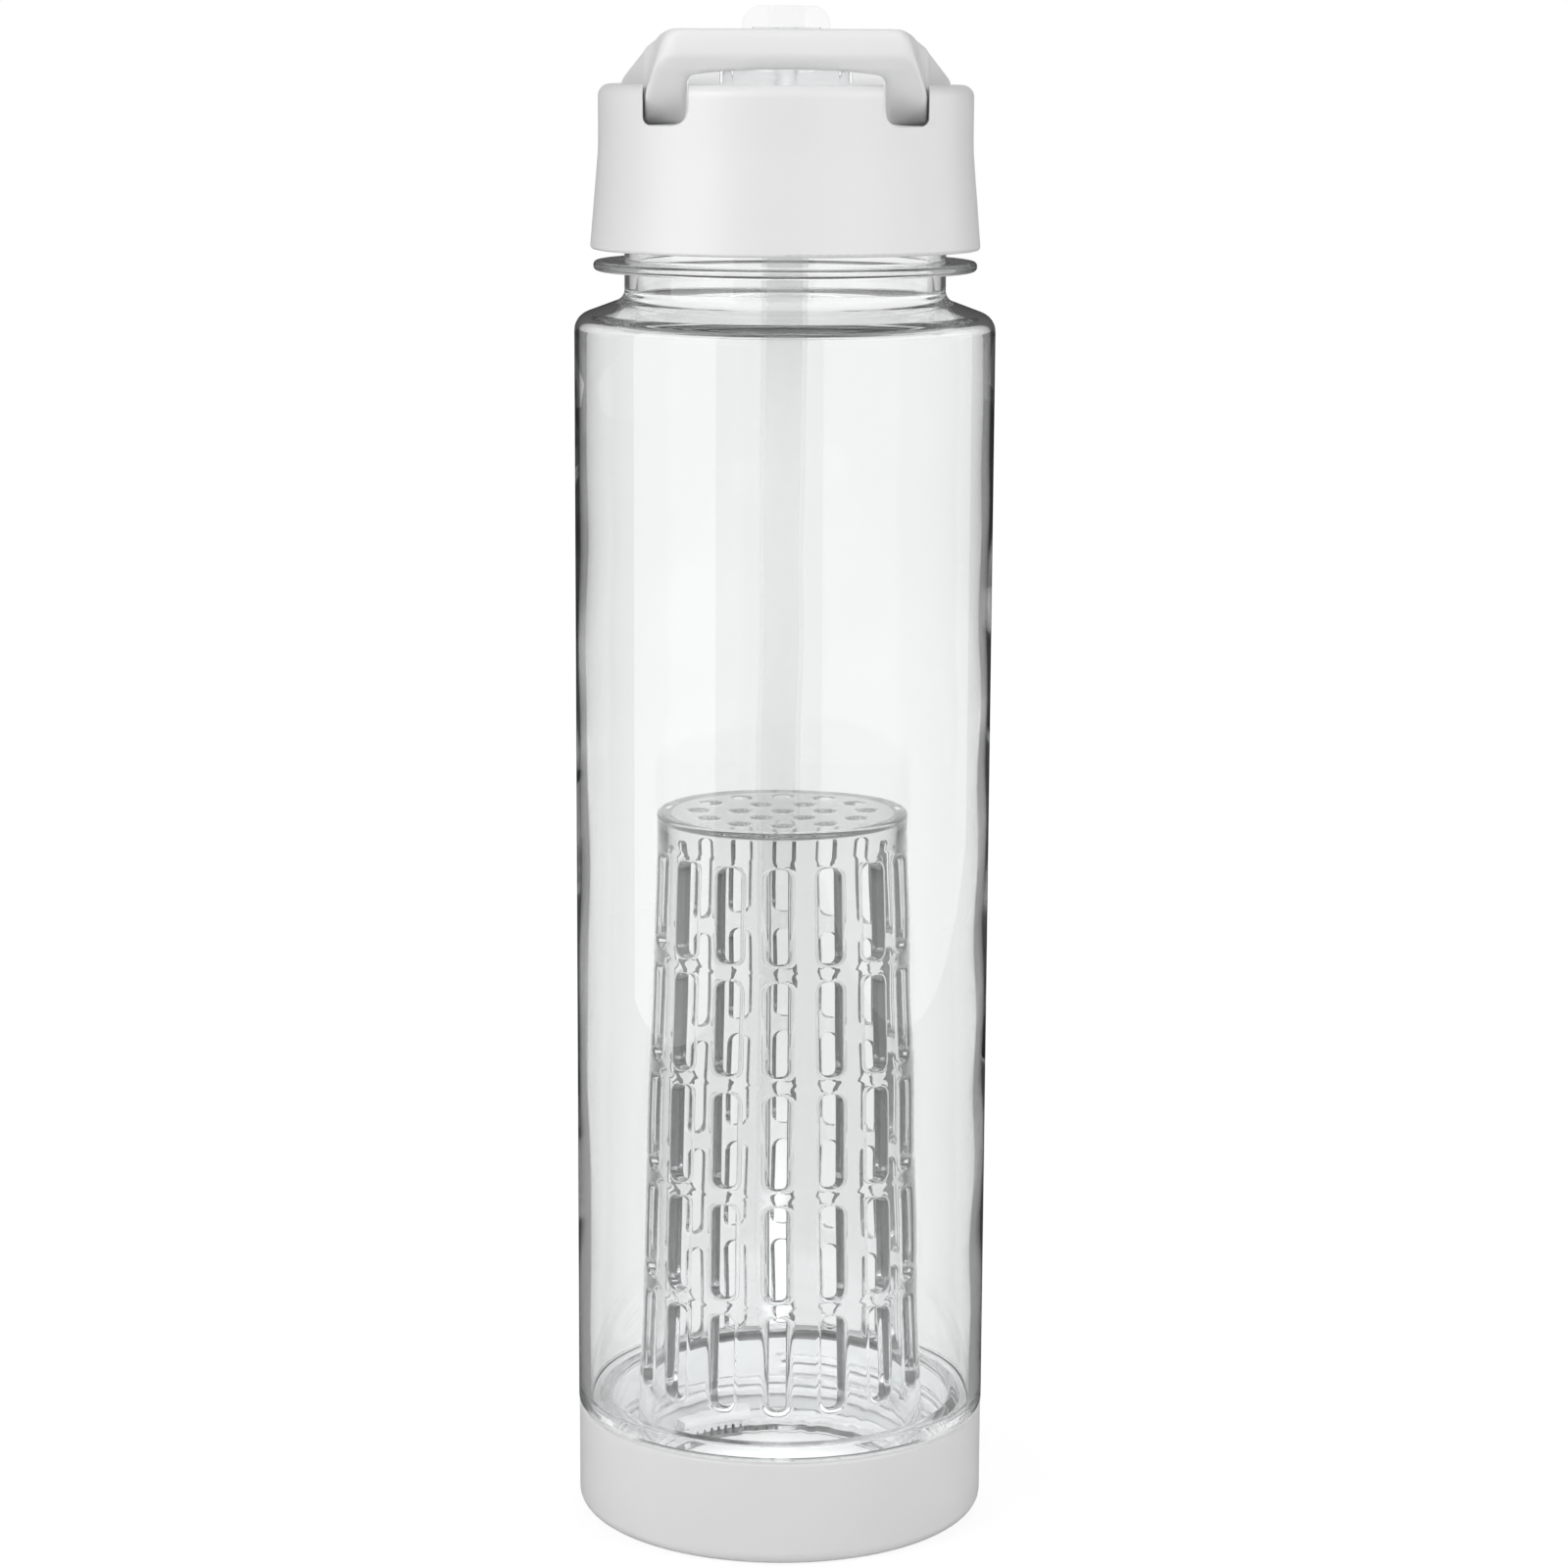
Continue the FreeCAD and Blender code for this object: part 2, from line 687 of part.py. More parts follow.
def make_lid_liner():
    """The lid's inner cap: threaded skirt, sealing plate and the nipple that holds the straw."""
    body = new_body("lid_liner")
    skirt_bottom = lid_bottom + s.liner_skirt_rise
    nipple_bottom = plate_bottom - s.nipple_length
    revolve(body, "cap", [
        (liner_bore, skirt_bottom),
        (liner_radius, skirt_bottom),
        (liner_radius, plate_top),
        (s.drink_bore_radius, plate_top),
        (s.drink_bore_radius, nipple_bottom),
        (s.nipple_radius, nipple_bottom),
        (s.nipple_radius, plate_bottom),
        (liner_bore, plate_bottom),
    ])
    ridge = ridge_outline(
        liner_bore, liner_bore - s.neck_thread_height, neck_thread_start - s.neck_thread_lead / 2,
        s.neck_thread_foot, s.neck_thread_crest)
    thread(body, "thread", ridge, s.neck_thread_lead, NECK_THREAD_TURNS)
    vent_holes(body, plate_bottom, plate_top)
    return body


def make_lid_shell():
    """The white outer lid: flared skirt, deck, raised rim with handle notches, and the spout's cradle."""
    body = new_body("lid_shell")
    revolve(body, "shell", [
        (seat_radius, plate_top),
        (lid_bore, plate_top),
        (lid_bore, lid_bottom),
        (lid_radius + s.lid_flare, lid_bottom, s.lid_skirt_round),
        (lid_radius, lid_bottom + s.lid_flare_height, s.lid_flare_round),
        (lid_radius, rim_top, s.rim_outer_round),
        (rim_bore, rim_top, s.rim_inner_round),
        (rim_bore, deck_top),
        (seat_radius, deck_top),
    ])
    vent_holes(body, plate_top, deck_top)
    notches = new_sketch(body, "XZ_Plane", "notches")
    sill = deck_top + s.notch_sill
    above = rim_top + s.cut_overrun
    notch_inner = handle_window_half - s.notch_inner_gap
    notch_outer = handle_knee_half + s.notch_outer_gap
    for side in (-1, 1):
        outline(notches, [
            (notch_inner * side, above),
            (notch_inner * side, sill, s.notch_inner_round),
            (notch_outer * side, sill, s.notch_outer_round),
            (notch_outer * side, above),
        ])
    cut(body, notches, "notch_cut", lid_radius + s.cut_overrun, reverse=True)
    pivots = new_sketch(body, "YZ_Plane", "pivots")
    circle(pivots, 0, pivot_height, s.pivot_radius + s.running_gap)
    cut(body, pivots, "pivot_cut", 2 * pivot_hole_end, both_sides=True)
    cheek = new_sketch(body, "YZ_Plane", "cradle_cheek", cradle_inner)
    cheek_top = spout_axis + s.cradle_rise
    cheek_root = deck_top - s.joint_overlap
    outline(cheek, [
        (-s.cradle_half_depth, cheek_root),
        (s.cradle_half_depth, cheek_root),
        (s.cradle_half_depth, cheek_top, s.cradle_round),
        (-s.cradle_half_depth, cheek_top, s.cradle_round),
    ])
    cheek_pad = pad(body, cheek, "cradle_cheek_pad", s.cradle_wall)
    around(body, cheek_pad, "cradle_cheeks", PIVOTS)
    bearing = new_sketch(body, "YZ_Plane", "bearing")
    circle(bearing, 0, spout_axis, s.journal_radius + s.running_gap)
    cut(body, bearing, "bearing_cut", 2 * cradle_outer + s.cut_overrun, both_sides=True)
    return body


def make_carry_handle():
    """The white carry handle: a bar in front on two arms that pivot inside the rim."""
    body = new_body("carry_handle")
    back = handle_front - s.handle_bar_depth
    rear = s.handle_rear + s.cut_overrun
    right = [
        (handle_side, rear),
        (handle_side, -s.handle_shoulder_reach, s.handle_slope_round),
        (handle_knee_half, s.handle_knee_run - handle_front, s.handle_slope_round),
        (handle_bar_half, -handle_front, s.handle_bar_round),
    ]
    left_inner = [
        (s.handle_bar_arm - handle_bar_half, -back, s.handle_edge_round),
        (s.handle_knee_arm - handle_knee_half, s.handle_knee_run - handle_front, s.handle_slope_round),
        (s.handle_arm - handle_side, -s.handle_shoulder_reach, s.handle_slope_round),
        (s.handle_arm - handle_side, rear),
    ]
    mirrored = [[(-corner[0], *corner[1:]) for corner in reversed(run)] for run in (right, left_inner)]
    bottom = pivot_height - s.handle_rear
    top = pivot_height + s.handle_bar_rise
    plan = new_sketch(body, "XY_Plane", "plan", bottom - s.cut_overrun)
    outline(plan, right + mirrored[0] + list(reversed(left_inner)) + list(reversed(mirrored[1])))
    pad(body, plan, "arms", top - bottom + 2 * s.cut_overrun)
    around_side = new_sketch(body, "YZ_Plane", "around_side")
    outline(around_side, box(
        -handle_front - s.cut_overrun, rear + s.cut_overrun,
        bottom - 2 * s.cut_overrun, top + 2 * s.cut_overrun))
    outline(around_side, [
        (s.handle_rear, bottom, s.handle_rear_round),
        (s.handle_rear, pivot_height + s.handle_rear_top_rise, s.handle_edge_round),
        (s.handle_top_rear_reach, pivot_height + s.handle_top_rear_rise, s.handle_edge_round),
        (s.handle_bar_top_run - handle_front, top, s.handle_slope_round),
        (-handle_front, top, s.handle_edge_round),
        (-handle_front, pivot_height + s.handle_bar_chin_rise, s.handle_edge_round),
        (s.handle_bar_under_run - handle_front, pivot_height + s.handle_bar_under_rise),
        (s.handle_leg_run - handle_front, bottom, s.handle_slope_round),
    ])
    cut(body, around_side, "side_cut", 2 * (handle_side + s.cut_overrun), both_sides=True)
    window = new_sketch(body, "XZ_Plane", "window")
    outline(window, [
        (-handle_window_half, bottom - s.cut_overrun),
        (handle_window_half, bottom - s.cut_overrun),
        (handle_window_half, pivot_height + s.handle_arch_side_rise),
        (0, pivot_height + s.handle_arch_apex_rise, s.handle_arch_round),
        (-handle_window_half, pivot_height + s.handle_arch_side_rise),
    ])
    cut(body, window, "window_cut", handle_front + s.cut_overrun, reverse=True)
    pivot_root = handle_side - s.joint_overlap
    pivot = new_sketch(body, "YZ_Plane", "pivot", pivot_root)
    circle(pivot, 0, pivot_height, s.pivot_radius)
    pivot_pad = pad(body, pivot, "pivot_pad", pivot_hole_end - s.pivot_end_gap - pivot_root)
    around(body, pivot_pad, "pivots", PIVOTS)
    return body


def make_flip_spout():
    """The clear flip spout: a barrel on two journals, with a flat stem and a bore through both."""
    body = new_body("flip_spout")
    groove_end = s.barrel_half_length + s.groove_width
    half = [
        (cradle_outer - s.journal_end_gap, 0),
        (cradle_outer - s.journal_end_gap, s.journal_radius),
        (disc_end, s.journal_radius),
        (disc_end, s.disc_radius, s.disc_edge_round),
        (groove_end, s.disc_radius),
        (groove_end, s.disc_radius - s.groove_depth),
        (s.barrel_half_length, s.disc_radius - s.groove_depth),
        (s.barrel_half_length, s.barrel_radius, s.barrel_edge_round),
    ]
    other_half = [(-corner[0], *corner[1:]) for corner in reversed(half)]
    revolve(body, "barrel", half + other_half, axis="H_Axis")
    stem = new_sketch(body, "XY_Plane", "stem")
    outline(stem, lozenge(s.stem_width, s.stem_depth))
    pad(body, stem, "stem_pad", stem_top)
    bore = new_sketch(body, "XY_Plane", "bore")
    circle(bore, 0, 0, s.drink_bore_radius)
    cut(body, bore, "bore_cut", 2 * stem_top + s.cut_overrun, both_sides=True)
    body.setExpression("Placement.Base.z", spout_axis.text)
    return body


def make_mouthpiece():
    """The soft mouthpiece pushed over the spout's stem."""
    body = new_body("mouthpiece")
    plan = new_sketch(body, "XY_Plane", "plan", mouthpiece_bottom)
    outline(plan, lozenge(s.mouthpiece_width, s.mouthpiece_depth))
    block = pad(body, plan, "block", mouthpiece_top - mouthpiece_bottom)
    doc.recompute()
    top_edges = [
        f"Edge{i}" for i, edge in enumerate(block.Shape.Edges, start=1)
        if abs(edge.BoundBox.ZMin - mouthpiece_top.value) < s.seat_gap.value
    ]
    crown = body.newObject("PartDesign::Fillet", "mouthpiece_crown")
    crown.Base = (block, top_edges)
    bind(crown, "Radius", s.mouthpiece_round)
    socket = new_sketch(body, "XY_Plane", "socket")
    outline(socket, lozenge(s.stem_width + 2 * s.seat_gap, s.stem_depth + 2 * s.seat_gap))
    cut(body, socket, "socket_cut", stem_top + s.seat_gap, reverse=True)
    slot = new_sketch(body, "XY_Plane", "mouth_slot")
    outline(slot, lozenge(s.mouth_slot_width, s.mouth_slot_depth))
    cut(body, slot, "mouth_cut", mouthpiece_top + s.cut_overrun, reverse=True)
    body.setExpression("Placement.Base.z", spout_axis.text)
    return body


def make_spout_seal():
    """Silicone ring in the deck's seat, hollowed to the barrel that turns on it."""
    body = new_body("spout_seal")
    ring = new_sketch(body, "XY_Plane", "ring", plate_top)
    circle(ring, 0, 0, s.spout_seal_radius)
    pad(body, ring, "ring_pad", s.spout_seal_height)
    bore = new_sketch(body, "XY_Plane", "bore", plate_top - s.cut_overrun)
    circle(bore, 0, 0, s.drink_bore_radius)
    cut(body, bore, "bore_cut", s.spout_seal_height + 2 * s.cut_overrun, reverse=True)
    saddle = new_sketch(body, "YZ_Plane", "saddle")
    circle(saddle, 0, spout_axis, s.barrel_radius + s.spout_seal_gap)
    cut(body, saddle, "saddle_cut", 2 * s.spout_seal_radius + s.cut_overrun, both_sides=True)
    return body


def make_vent_valve():
    """Silicone umbrella valve: a disc under the lid's plate, held by a bulb above the deck."""
    body = new_body("vent_valve")
    disc_top = plate_bottom - s.seat_gap
    disc_edge = disc_top - s.vent_disc_edge
    bulb_bottom = deck_top + s.seat_gap
    revolve(body, "umbrella", [
        (0, disc_edge - s.vent_disc_crown),
        (s.vent_disc_radius, disc_edge),
        (s.vent_disc_radius, disc_top),
        (s.vent_stem_radius, disc_top),
        (s.vent_stem_radius, bulb_bottom),
        (s.vent_bulb_radius, bulb_bottom),
        (s.vent_bulb_tip_radius, bulb_bottom + s.vent_bulb_height),
        (0, bulb_bottom + s.vent_bulb_height),
    ])
    body.setExpression("Placement.Base.x", vent_x.text)
    body.setExpression("Placement.Base.y", vent_y.text)
    return body


def make_straw():
    """The translucent straw: down from the nipple, then bent back to run between basket and wall."""
    body = new_body("straw")
    path = new_sketch(body, "YZ_Plane", "path")
    outline(path, [
        (0, straw_top),
        (0, flange_height + s.straw_upper_rise, s.straw_bend_radius),
        (straw_offset, s.basket_top_height - s.straw_lower_drop, s.straw_bend_radius),
        (straw_offset, straw_foot),
    ], closed=False)
    section = new_sketch(body, "XY_Plane", "section", straw_top)
    circle(section, 0, 0, straw_radius)
    circle(section, 0, 0, s.nipple_radius + s.straw_socket_gap)
    pipe = body.newObject("PartDesign::AdditivePipe", "straw_tube")
    pipe.Profile = section
    pipe.Spine = (path, [])
    body.Placement = FreeCAD.Placement(
        FreeCAD.Vector(0, 0, 0), FreeCAD.Rotation(FreeCAD.Vector(0, 0, 1), s.straw_swing_degrees.value))
    body.setExpression("Placement.Rotation.Angle", s.straw_swing_degrees.text)
    return body


pieces = [
    make_bottle_body(),
    make_base_cup(),
    make_base_gasket(),
    make_infuser_basket(),
    make_lid_gasket(),
    make_lid_liner(),
    make_lid_shell(),
    make_carry_handle(),
    make_flip_spout(),
    make_mouthpiece(),
    make_spout_seal(),
    make_vent_valve(),
    make_straw(),
]
doc.recompute()

# Nothing is written unless every feature and every piece is sound
for thing in doc.Objects:
    if "Invalid" in thing.State or "Error" in thing.State:
        raise ValueError(f"{thing.Name} failed: {thing.State}")
for piece in pieces:
    if piece.Shape.isNull() or not piece.Shape.isValid() or len(piece.Shape.Solids) != 1:
        raise ValueError(f"{piece.Label} is not one valid solid")

os.makedirs("parts", exist_ok=True)
for piece in pieces:
    piece.Shape.exportStep(os.path.join("parts", f"{piece.Label}.step"))
    print(piece.Label, "volume", round(piece.Shape.Volume, 1))
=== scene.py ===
import bmesh
import bpy
import math
from mathutils import Matrix, Vector


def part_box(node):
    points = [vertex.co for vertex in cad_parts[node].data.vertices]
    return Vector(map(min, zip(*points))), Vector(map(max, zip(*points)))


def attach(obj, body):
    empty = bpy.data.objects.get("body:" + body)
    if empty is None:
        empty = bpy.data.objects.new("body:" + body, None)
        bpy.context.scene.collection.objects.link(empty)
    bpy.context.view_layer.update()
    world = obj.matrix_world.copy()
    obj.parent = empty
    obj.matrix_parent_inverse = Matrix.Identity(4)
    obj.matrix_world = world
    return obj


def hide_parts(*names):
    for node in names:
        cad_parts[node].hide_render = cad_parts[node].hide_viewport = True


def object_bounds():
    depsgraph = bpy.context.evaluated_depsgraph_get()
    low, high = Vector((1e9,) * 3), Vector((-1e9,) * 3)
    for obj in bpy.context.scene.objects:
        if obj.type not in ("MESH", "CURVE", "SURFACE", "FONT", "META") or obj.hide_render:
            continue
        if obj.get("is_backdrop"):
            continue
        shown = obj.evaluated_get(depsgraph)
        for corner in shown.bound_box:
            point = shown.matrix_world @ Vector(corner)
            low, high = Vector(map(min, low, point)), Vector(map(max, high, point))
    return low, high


# Camera. The bottle stands upright a little below eye level, seen from the front on a long lens.
# The camera hangs in front of the bottle, tipped down and rolled by a hair, as in the photograph.
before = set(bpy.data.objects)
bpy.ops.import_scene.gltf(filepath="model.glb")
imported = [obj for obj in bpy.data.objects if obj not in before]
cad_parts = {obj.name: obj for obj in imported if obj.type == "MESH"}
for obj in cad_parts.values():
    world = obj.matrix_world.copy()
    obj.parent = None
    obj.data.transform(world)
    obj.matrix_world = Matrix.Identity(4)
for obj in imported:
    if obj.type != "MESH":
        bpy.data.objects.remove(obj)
cad_low, cad_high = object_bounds()
scene = bpy.context.scene
scene.view_settings.view_transform = "Standard"

camera_distance = 0.66443
camera_height = 0.24762
camera_side = 0.0002
camera_pitch = math.radians(10.336)
camera_roll = math.radians(0.27)
camera_lens_mm = 91.31
lens = bpy.data.cameras.new("camera")
lens.lens = camera_lens_mm
camera = bpy.data.objects.new("camera", lens)
tip = Matrix.Rotation(math.pi / 2 - camera_pitch, 4, "X") @ Matrix.Rotation(camera_roll, 4, "Z")
camera.matrix_world = Matrix.Translation((camera_side, -camera_distance, camera_height)) @ tip
scene.collection.objects.link(camera)
scene.camera = camera


# Base cup. A shallow white screw cup that closes the bottle from below and carries the infuser.
# Injection-moulded opaque plastic with a satin skin, screwed on the spigot under the body.
def blank_finish(name):
    """A new material, with its nodes and links at hand."""
    finish = bpy.data.materials.new(name)
    finish.use_nodes = True
    return finish, finish.node_tree.nodes, finish.node_tree.links


def pattern_over(nodes, links, scale, detail):
    """An uneven pattern that lies on the piece itself."""
    place = nodes.new("ShaderNodeTexCoord")
    pattern = nodes.new("ShaderNodeTexNoise")
    pattern.inputs["Scale"].default_value = scale
    pattern.inputs["Detail"].default_value = detail
    links.new(place.outputs["Object"], pattern.inputs["Vector"])
    return pattern.outputs["Fac"]


def clouded_shade(nodes, links, pattern, dark_shade, light_shade):
    """Colour the surface between two shades, after a pattern."""
    shade = nodes.new("ShaderNodeMix")
    shade.data_type = "RGBA"
    shade.inputs["A"].default_value = (*dark_shade, 1.0)
    shade.inputs["B"].default_value = (*light_shade, 1.0)
    links.new(pattern, shade.inputs["Factor"])
    links.new(shade.outputs["Result"], nodes["Principled BSDF"].inputs["Base Color"])


def raised_pattern(nodes, links, pattern, strength_share, height):
    """Let a pattern stand up from the surface by a small height."""
    bump = nodes.new("ShaderNodeBump")
    bump.inputs["Strength"].default_value = strength_share
    bump.inputs["Distance"].default_value = height
    links.new(pattern, bump.inputs["Height"])
    links.new(bump.outputs["Normal"], nodes["Principled BSDF"].inputs["Normal"])


white_refraction = 1.49
white_cloud_scale = 38.0
white_cloud_detail = 3.0
white_grain_scale = 2600.0
white_grain_detail = 2.0
white_grain_share = 0.25
white_grain_height = 0.00002


def moulded_white(name, light_shade, dark_shade, gloss_range, shine_share):
    """White moulded plastic: a faint cloud in the shade, a fine grain and a slightly uneven gloss."""
    finish, nodes, links = blank_finish(name)
    shader = nodes["Principled BSDF"]
    cloud = pattern_over(nodes, links, white_cloud_scale, white_cloud_detail)
    clouded_shade(nodes, links, cloud, dark_shade, light_shade)
    gloss = nodes.new("ShaderNodeMapRange")
    gloss.inputs["To Min"].default_value = gloss_range[0]
    gloss.inputs["To Max"].default_value = gloss_range[1]
    links.new(cloud, gloss.inputs["Value"])
    links.new(gloss.outputs["Result"], shader.inputs["Roughness"])
    grain = pattern_over(nodes, links, white_grain_scale, white_grain_detail)
    raised_pattern(nodes, links, grain, white_grain_share, white_grain_height)
    shader.inputs["IOR"].default_value = white_refraction
    shader.inputs["Specular IOR Level"].default_value = shine_share
    return finish


def dress(node, finish):
    """Give a piece carried over from the frame its finish."""
    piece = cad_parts[node]
    piece.data.materials.clear()
    piece.data.materials.append(finish)


base_white = moulded_white(
    "base_white", light_shade=(0.85, 0.85, 0.85), dark_shade=(0.82, 0.82, 0.825),
    gloss_range=(0.34, 0.42), shine_share=0.5)
dress("base_cup", base_white)

# Silicone seals. Flat rings in the base and the lid, the ring under the spout and the vent valve.
# Soft milky silicone, punched or moulded, pressed into their seats.
haze_detail = 2.0


def hazy_finish(name, tint, haze_scale, dark_share, roughness):
    """Soft plastic whose tint is a little darker in places; its shader comes along for the rest."""
    finish, nodes, links = blank_finish(name)
    haze = pattern_over(nodes, links, haze_scale, haze_detail)
    clouded_shade(nodes, links, haze, [part * dark_share for part in tint], tint)
    shader = nodes["Principled BSDF"]
    shader.inputs["Roughness"].default_value = roughness
    return finish, shader


silicone_glow_share = 0.3
silicone_glow_depth = 0.004
seal_silicone, seal_shader = hazy_finish(
    "seal_silicone", tint=(0.83, 0.84, 0.84), haze_scale=240.0, dark_share=0.95, roughness=0.5)
seal_shader.inputs["Subsurface Weight"].default_value = silicone_glow_share
seal_shader.inputs["Subsurface Radius"].default_value = [silicone_glow_depth] * 3
seal_shader.inputs["Subsurface Scale"].default_value = 1.0
for seal in ("base_gasket", "lid_gasket", "spout_seal", "vent_valve"):
    dress(seal, seal_silicone)

# Infuser basket. A clear tapered cup standing upside down on the base, slotted all round.
# Injection-moulded clear plastic, held to the base by three bayonet lugs.
# The walls of the drain holes in its top are a little frosted.
clear_wave_scale = 45.0
clear_wave_share = 0.3


def clear_plastic(name, tint, refraction, roughness, wave_height, clear_share):
    """Clear moulded plastic whose surface is a little wavy, and which lets the lamps light what it holds."""
    finish, nodes, links = blank_finish(name)
    shader = nodes["Principled BSDF"]
    shader.inputs["Base Color"].default_value = (*tint, 1.0)
    shader.inputs["Roughness"].default_value = roughness
    shader.inputs["IOR"].default_value = refraction
    shader.inputs["Transmission Weight"].default_value = clear_share
    wave = pattern_over(nodes, links, clear_wave_scale, 0.0)
    raised_pattern(nodes, links, wave, clear_wave_share, wave_height)
    rays = nodes.new("ShaderNodeLightPath")
    clear = nodes.new("ShaderNodeBsdfTransparent")
    clear.inputs["Color"].default_value = (*tint, 1.0)
    blend = nodes.new("ShaderNodeMixShader")
    links.new(rays.outputs["Is Shadow Ray"], blend.inputs["Fac"])
    links.new(shader.outputs["BSDF"], blend.inputs[1])
    links.new(clear.outputs["BSDF"], blend.inputs[2])
    links.new(blend.outputs["Shader"], nodes["Material Output"].inputs["Surface"])
    return finish


def ring_of(mesh, points):
    return [mesh.verts.new(point) for point in points]


def skin(mesh, rings, finish_index=0):
    """Faces between each closed ring and the next one, all of as many points."""
    for one, other in zip(rings, rings[1:]):
        for i, corner in enumerate(one):
            j = (i + 1) % len(one)
            face = mesh.faces.new((corner, one[j], other[j], other[i]))
            face.material_index = finish_index


def skin_with_ends(mesh, rings):
    """Faces between the rings, and one over each end."""
    skin(mesh, rings)
    mesh.faces.new(rings[0])
    mesh.faces.new(list(reversed(rings[-1])))


def quarter(steps):
    """Shares (out, down) along a quarter round, from the flat side to the upright side."""
    turns = [math.pi / 2 * k / steps for k in range(steps + 1)]
    return [(1 - math.sin(turn), 1 - math.cos(turn)) for turn in turns]


weld_gap = 0.000001


def make_piece(mesh, name, finish):
    """Close up a built mesh and set it in the scene as one smooth-shaded piece."""
    bmesh.ops.remove_doubles(mesh, verts=mesh.verts, dist=weld_gap)
    bmesh.ops.recalc_face_normals(mesh, faces=mesh.faces)
    data = bpy.data.meshes.new(name)
    mesh.to_mesh(data)
    mesh.free()
    data.shade_smooth()
    data.materials.append(finish)
    piece = bpy.data.objects.new(name, data)
    scene.collection.objects.link(piece)
    return piece


basket_low, basket_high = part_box("infuser_basket")
basket_bottom = basket_low.z
basket_top = basket_high.z
basket_foot_radius = 0.0251
basket_top_radius = 0.02135
basket_wall = 0.002
basket_top_wall = 0.0012
basket_ceiling = basket_top - basket_top_wall
basket_crown_round = 0.0009
basket_inner_round = 0.0004
basket_foot_edge = 0.0004
basket_slope = (basket_foot_radius - basket_top_radius) / (basket_top - basket_bottom)
slot_columns = 16
slot_rows = 5
slot_width = 0.0045
slot_length = 0.0162
slot_pitch = 0.0191
slot_top_margin = 0.0062
slot_corner = 0.0016
slot_edge = 0.0004
slot_support = 0.0004
slot_side_draft = 0.001
slot_end_draft = 0.0001
edge_steps = 3
across_steps = 6
up_steps = 10
arc_steps = 2
basket_turn = math.radians(-1.2)


def basket_radius(height):
    return basket_foot_radius - basket_slope * (height - basket_bottom)


def basket_point(radius, turn, height):
    return (radius * math.sin(turn), -radius * math.cos(turn), height)


def slot_outline(grow, depth):
    """Points (across, up) round a slot about its middle, set off outwards; deeper in the slot is narrower."""
    depth_share = depth / basket_wall
    half_across = slot_width / 2 + grow - slot_side_draft * depth_share
    half_up = slot_length / 2 + grow - slot_end_draft * depth_share
    bend = min(slot_corner, half_across - grow - slot_support) + grow
    points = []
    for side in range(4):
        across_way = side % 2 == 0
        reach, other_reach = (half_across, half_up) if across_way else (half_up, half_across)
        straight_steps = (across_steps if across_way else up_steps) - 2 * arc_steps
        run = []
        for k in range(arc_steps):
            turn = math.pi / 4 * (1 - k / arc_steps)
            run.append((bend - reach - bend * math.sin(turn), bend - other_reach - bend * math.cos(turn)))
        for k in range(straight_steps + 1):
            run.append(((2 * k / straight_steps - 1) * (reach - bend), -other_reach))
        for k in range(1, arc_steps):
            turn = math.pi / 4 * k / arc_steps
            run.append((reach - bend + bend * math.sin(turn), bend - other_reach - bend * math.cos(turn)))
        for along, off in run:
            turned = {0: (along, off), 1: (-off, along), 2: (-along, -off), 3: (off, -along)}
            points.append(turned[side])
    return points


def cell_outline():
    """Points (turn, up) round the share of the wall that belongs to one slot, matching the slot's points."""
    half_turn = math.pi / slot_columns
    half_up = slot_pitch / 2
    points = []
    for side in range(4):
        steps = across_steps if side % 2 == 0 else up_steps
        for k in range(steps):
            along = 2 * k / steps - 1
            corner = {0: (along, -1), 1: (1, along), 2: (-along, 1), 3: (-1, -along)}[side]
            points.append((corner[0] * half_turn, corner[1] * half_up))
    return points


def cell_ring(mesh, turn, middle, depth):
    """The outline of one slot's share of the wall, at some depth in the wall."""
    points = []
    for round_by, up in cell_outline():
        height = middle + up
        points.append(basket_point(basket_radius(height) - depth, turn + round_by, height))
    return ring_of(mesh, points)


def slot_cell(mesh, turn, middle):
    """One slot and the wall round it: outer face, rounded edges, slot walls and inner face."""
    soft = [(slot_edge * out, slot_edge * down) for out, down in quarter(edge_steps)]
    layers = [(slot_edge + slot_support, 0)]
    layers += soft
    layers += [(out, basket_wall - down) for out, down in reversed(soft)]
    layers += [(slot_edge + slot_support, basket_wall)]
    rings = [cell_ring(mesh, turn, middle, 0)]
    for grow, depth in layers:
        points = []
        for across, up in slot_outline(grow, depth):
            radius = basket_radius(middle + up) - depth
            points.append(basket_point(radius, turn + math.asin(across / radius), middle + up))
        rings.append(ring_of(mesh, points))
    rings.append(cell_ring(mesh, turn, middle, basket_wall))
    skin(mesh, rings)


basket_mesh = bmesh.new()
top_slot_middle = basket_top - slot_top_margin - slot_length / 2
for column in range(slot_columns):
    slot_turn = 2 * math.pi * column / slot_columns + basket_turn
    for row in range(slot_rows):
        slot_cell(basket_mesh, slot_turn, top_slot_middle - slot_pitch * row)

basket_sides = slot_columns * across_steps


def basket_ring(radius, height):
    """A level ring whose points meet those of the slot cells."""
    first = basket_turn - math.pi / slot_columns
    turns = [first + 2 * math.pi * k / basket_sides for k in range(basket_sides)]
    return ring_of(basket_mesh, [basket_point(radius, turn, height) for turn in turns])


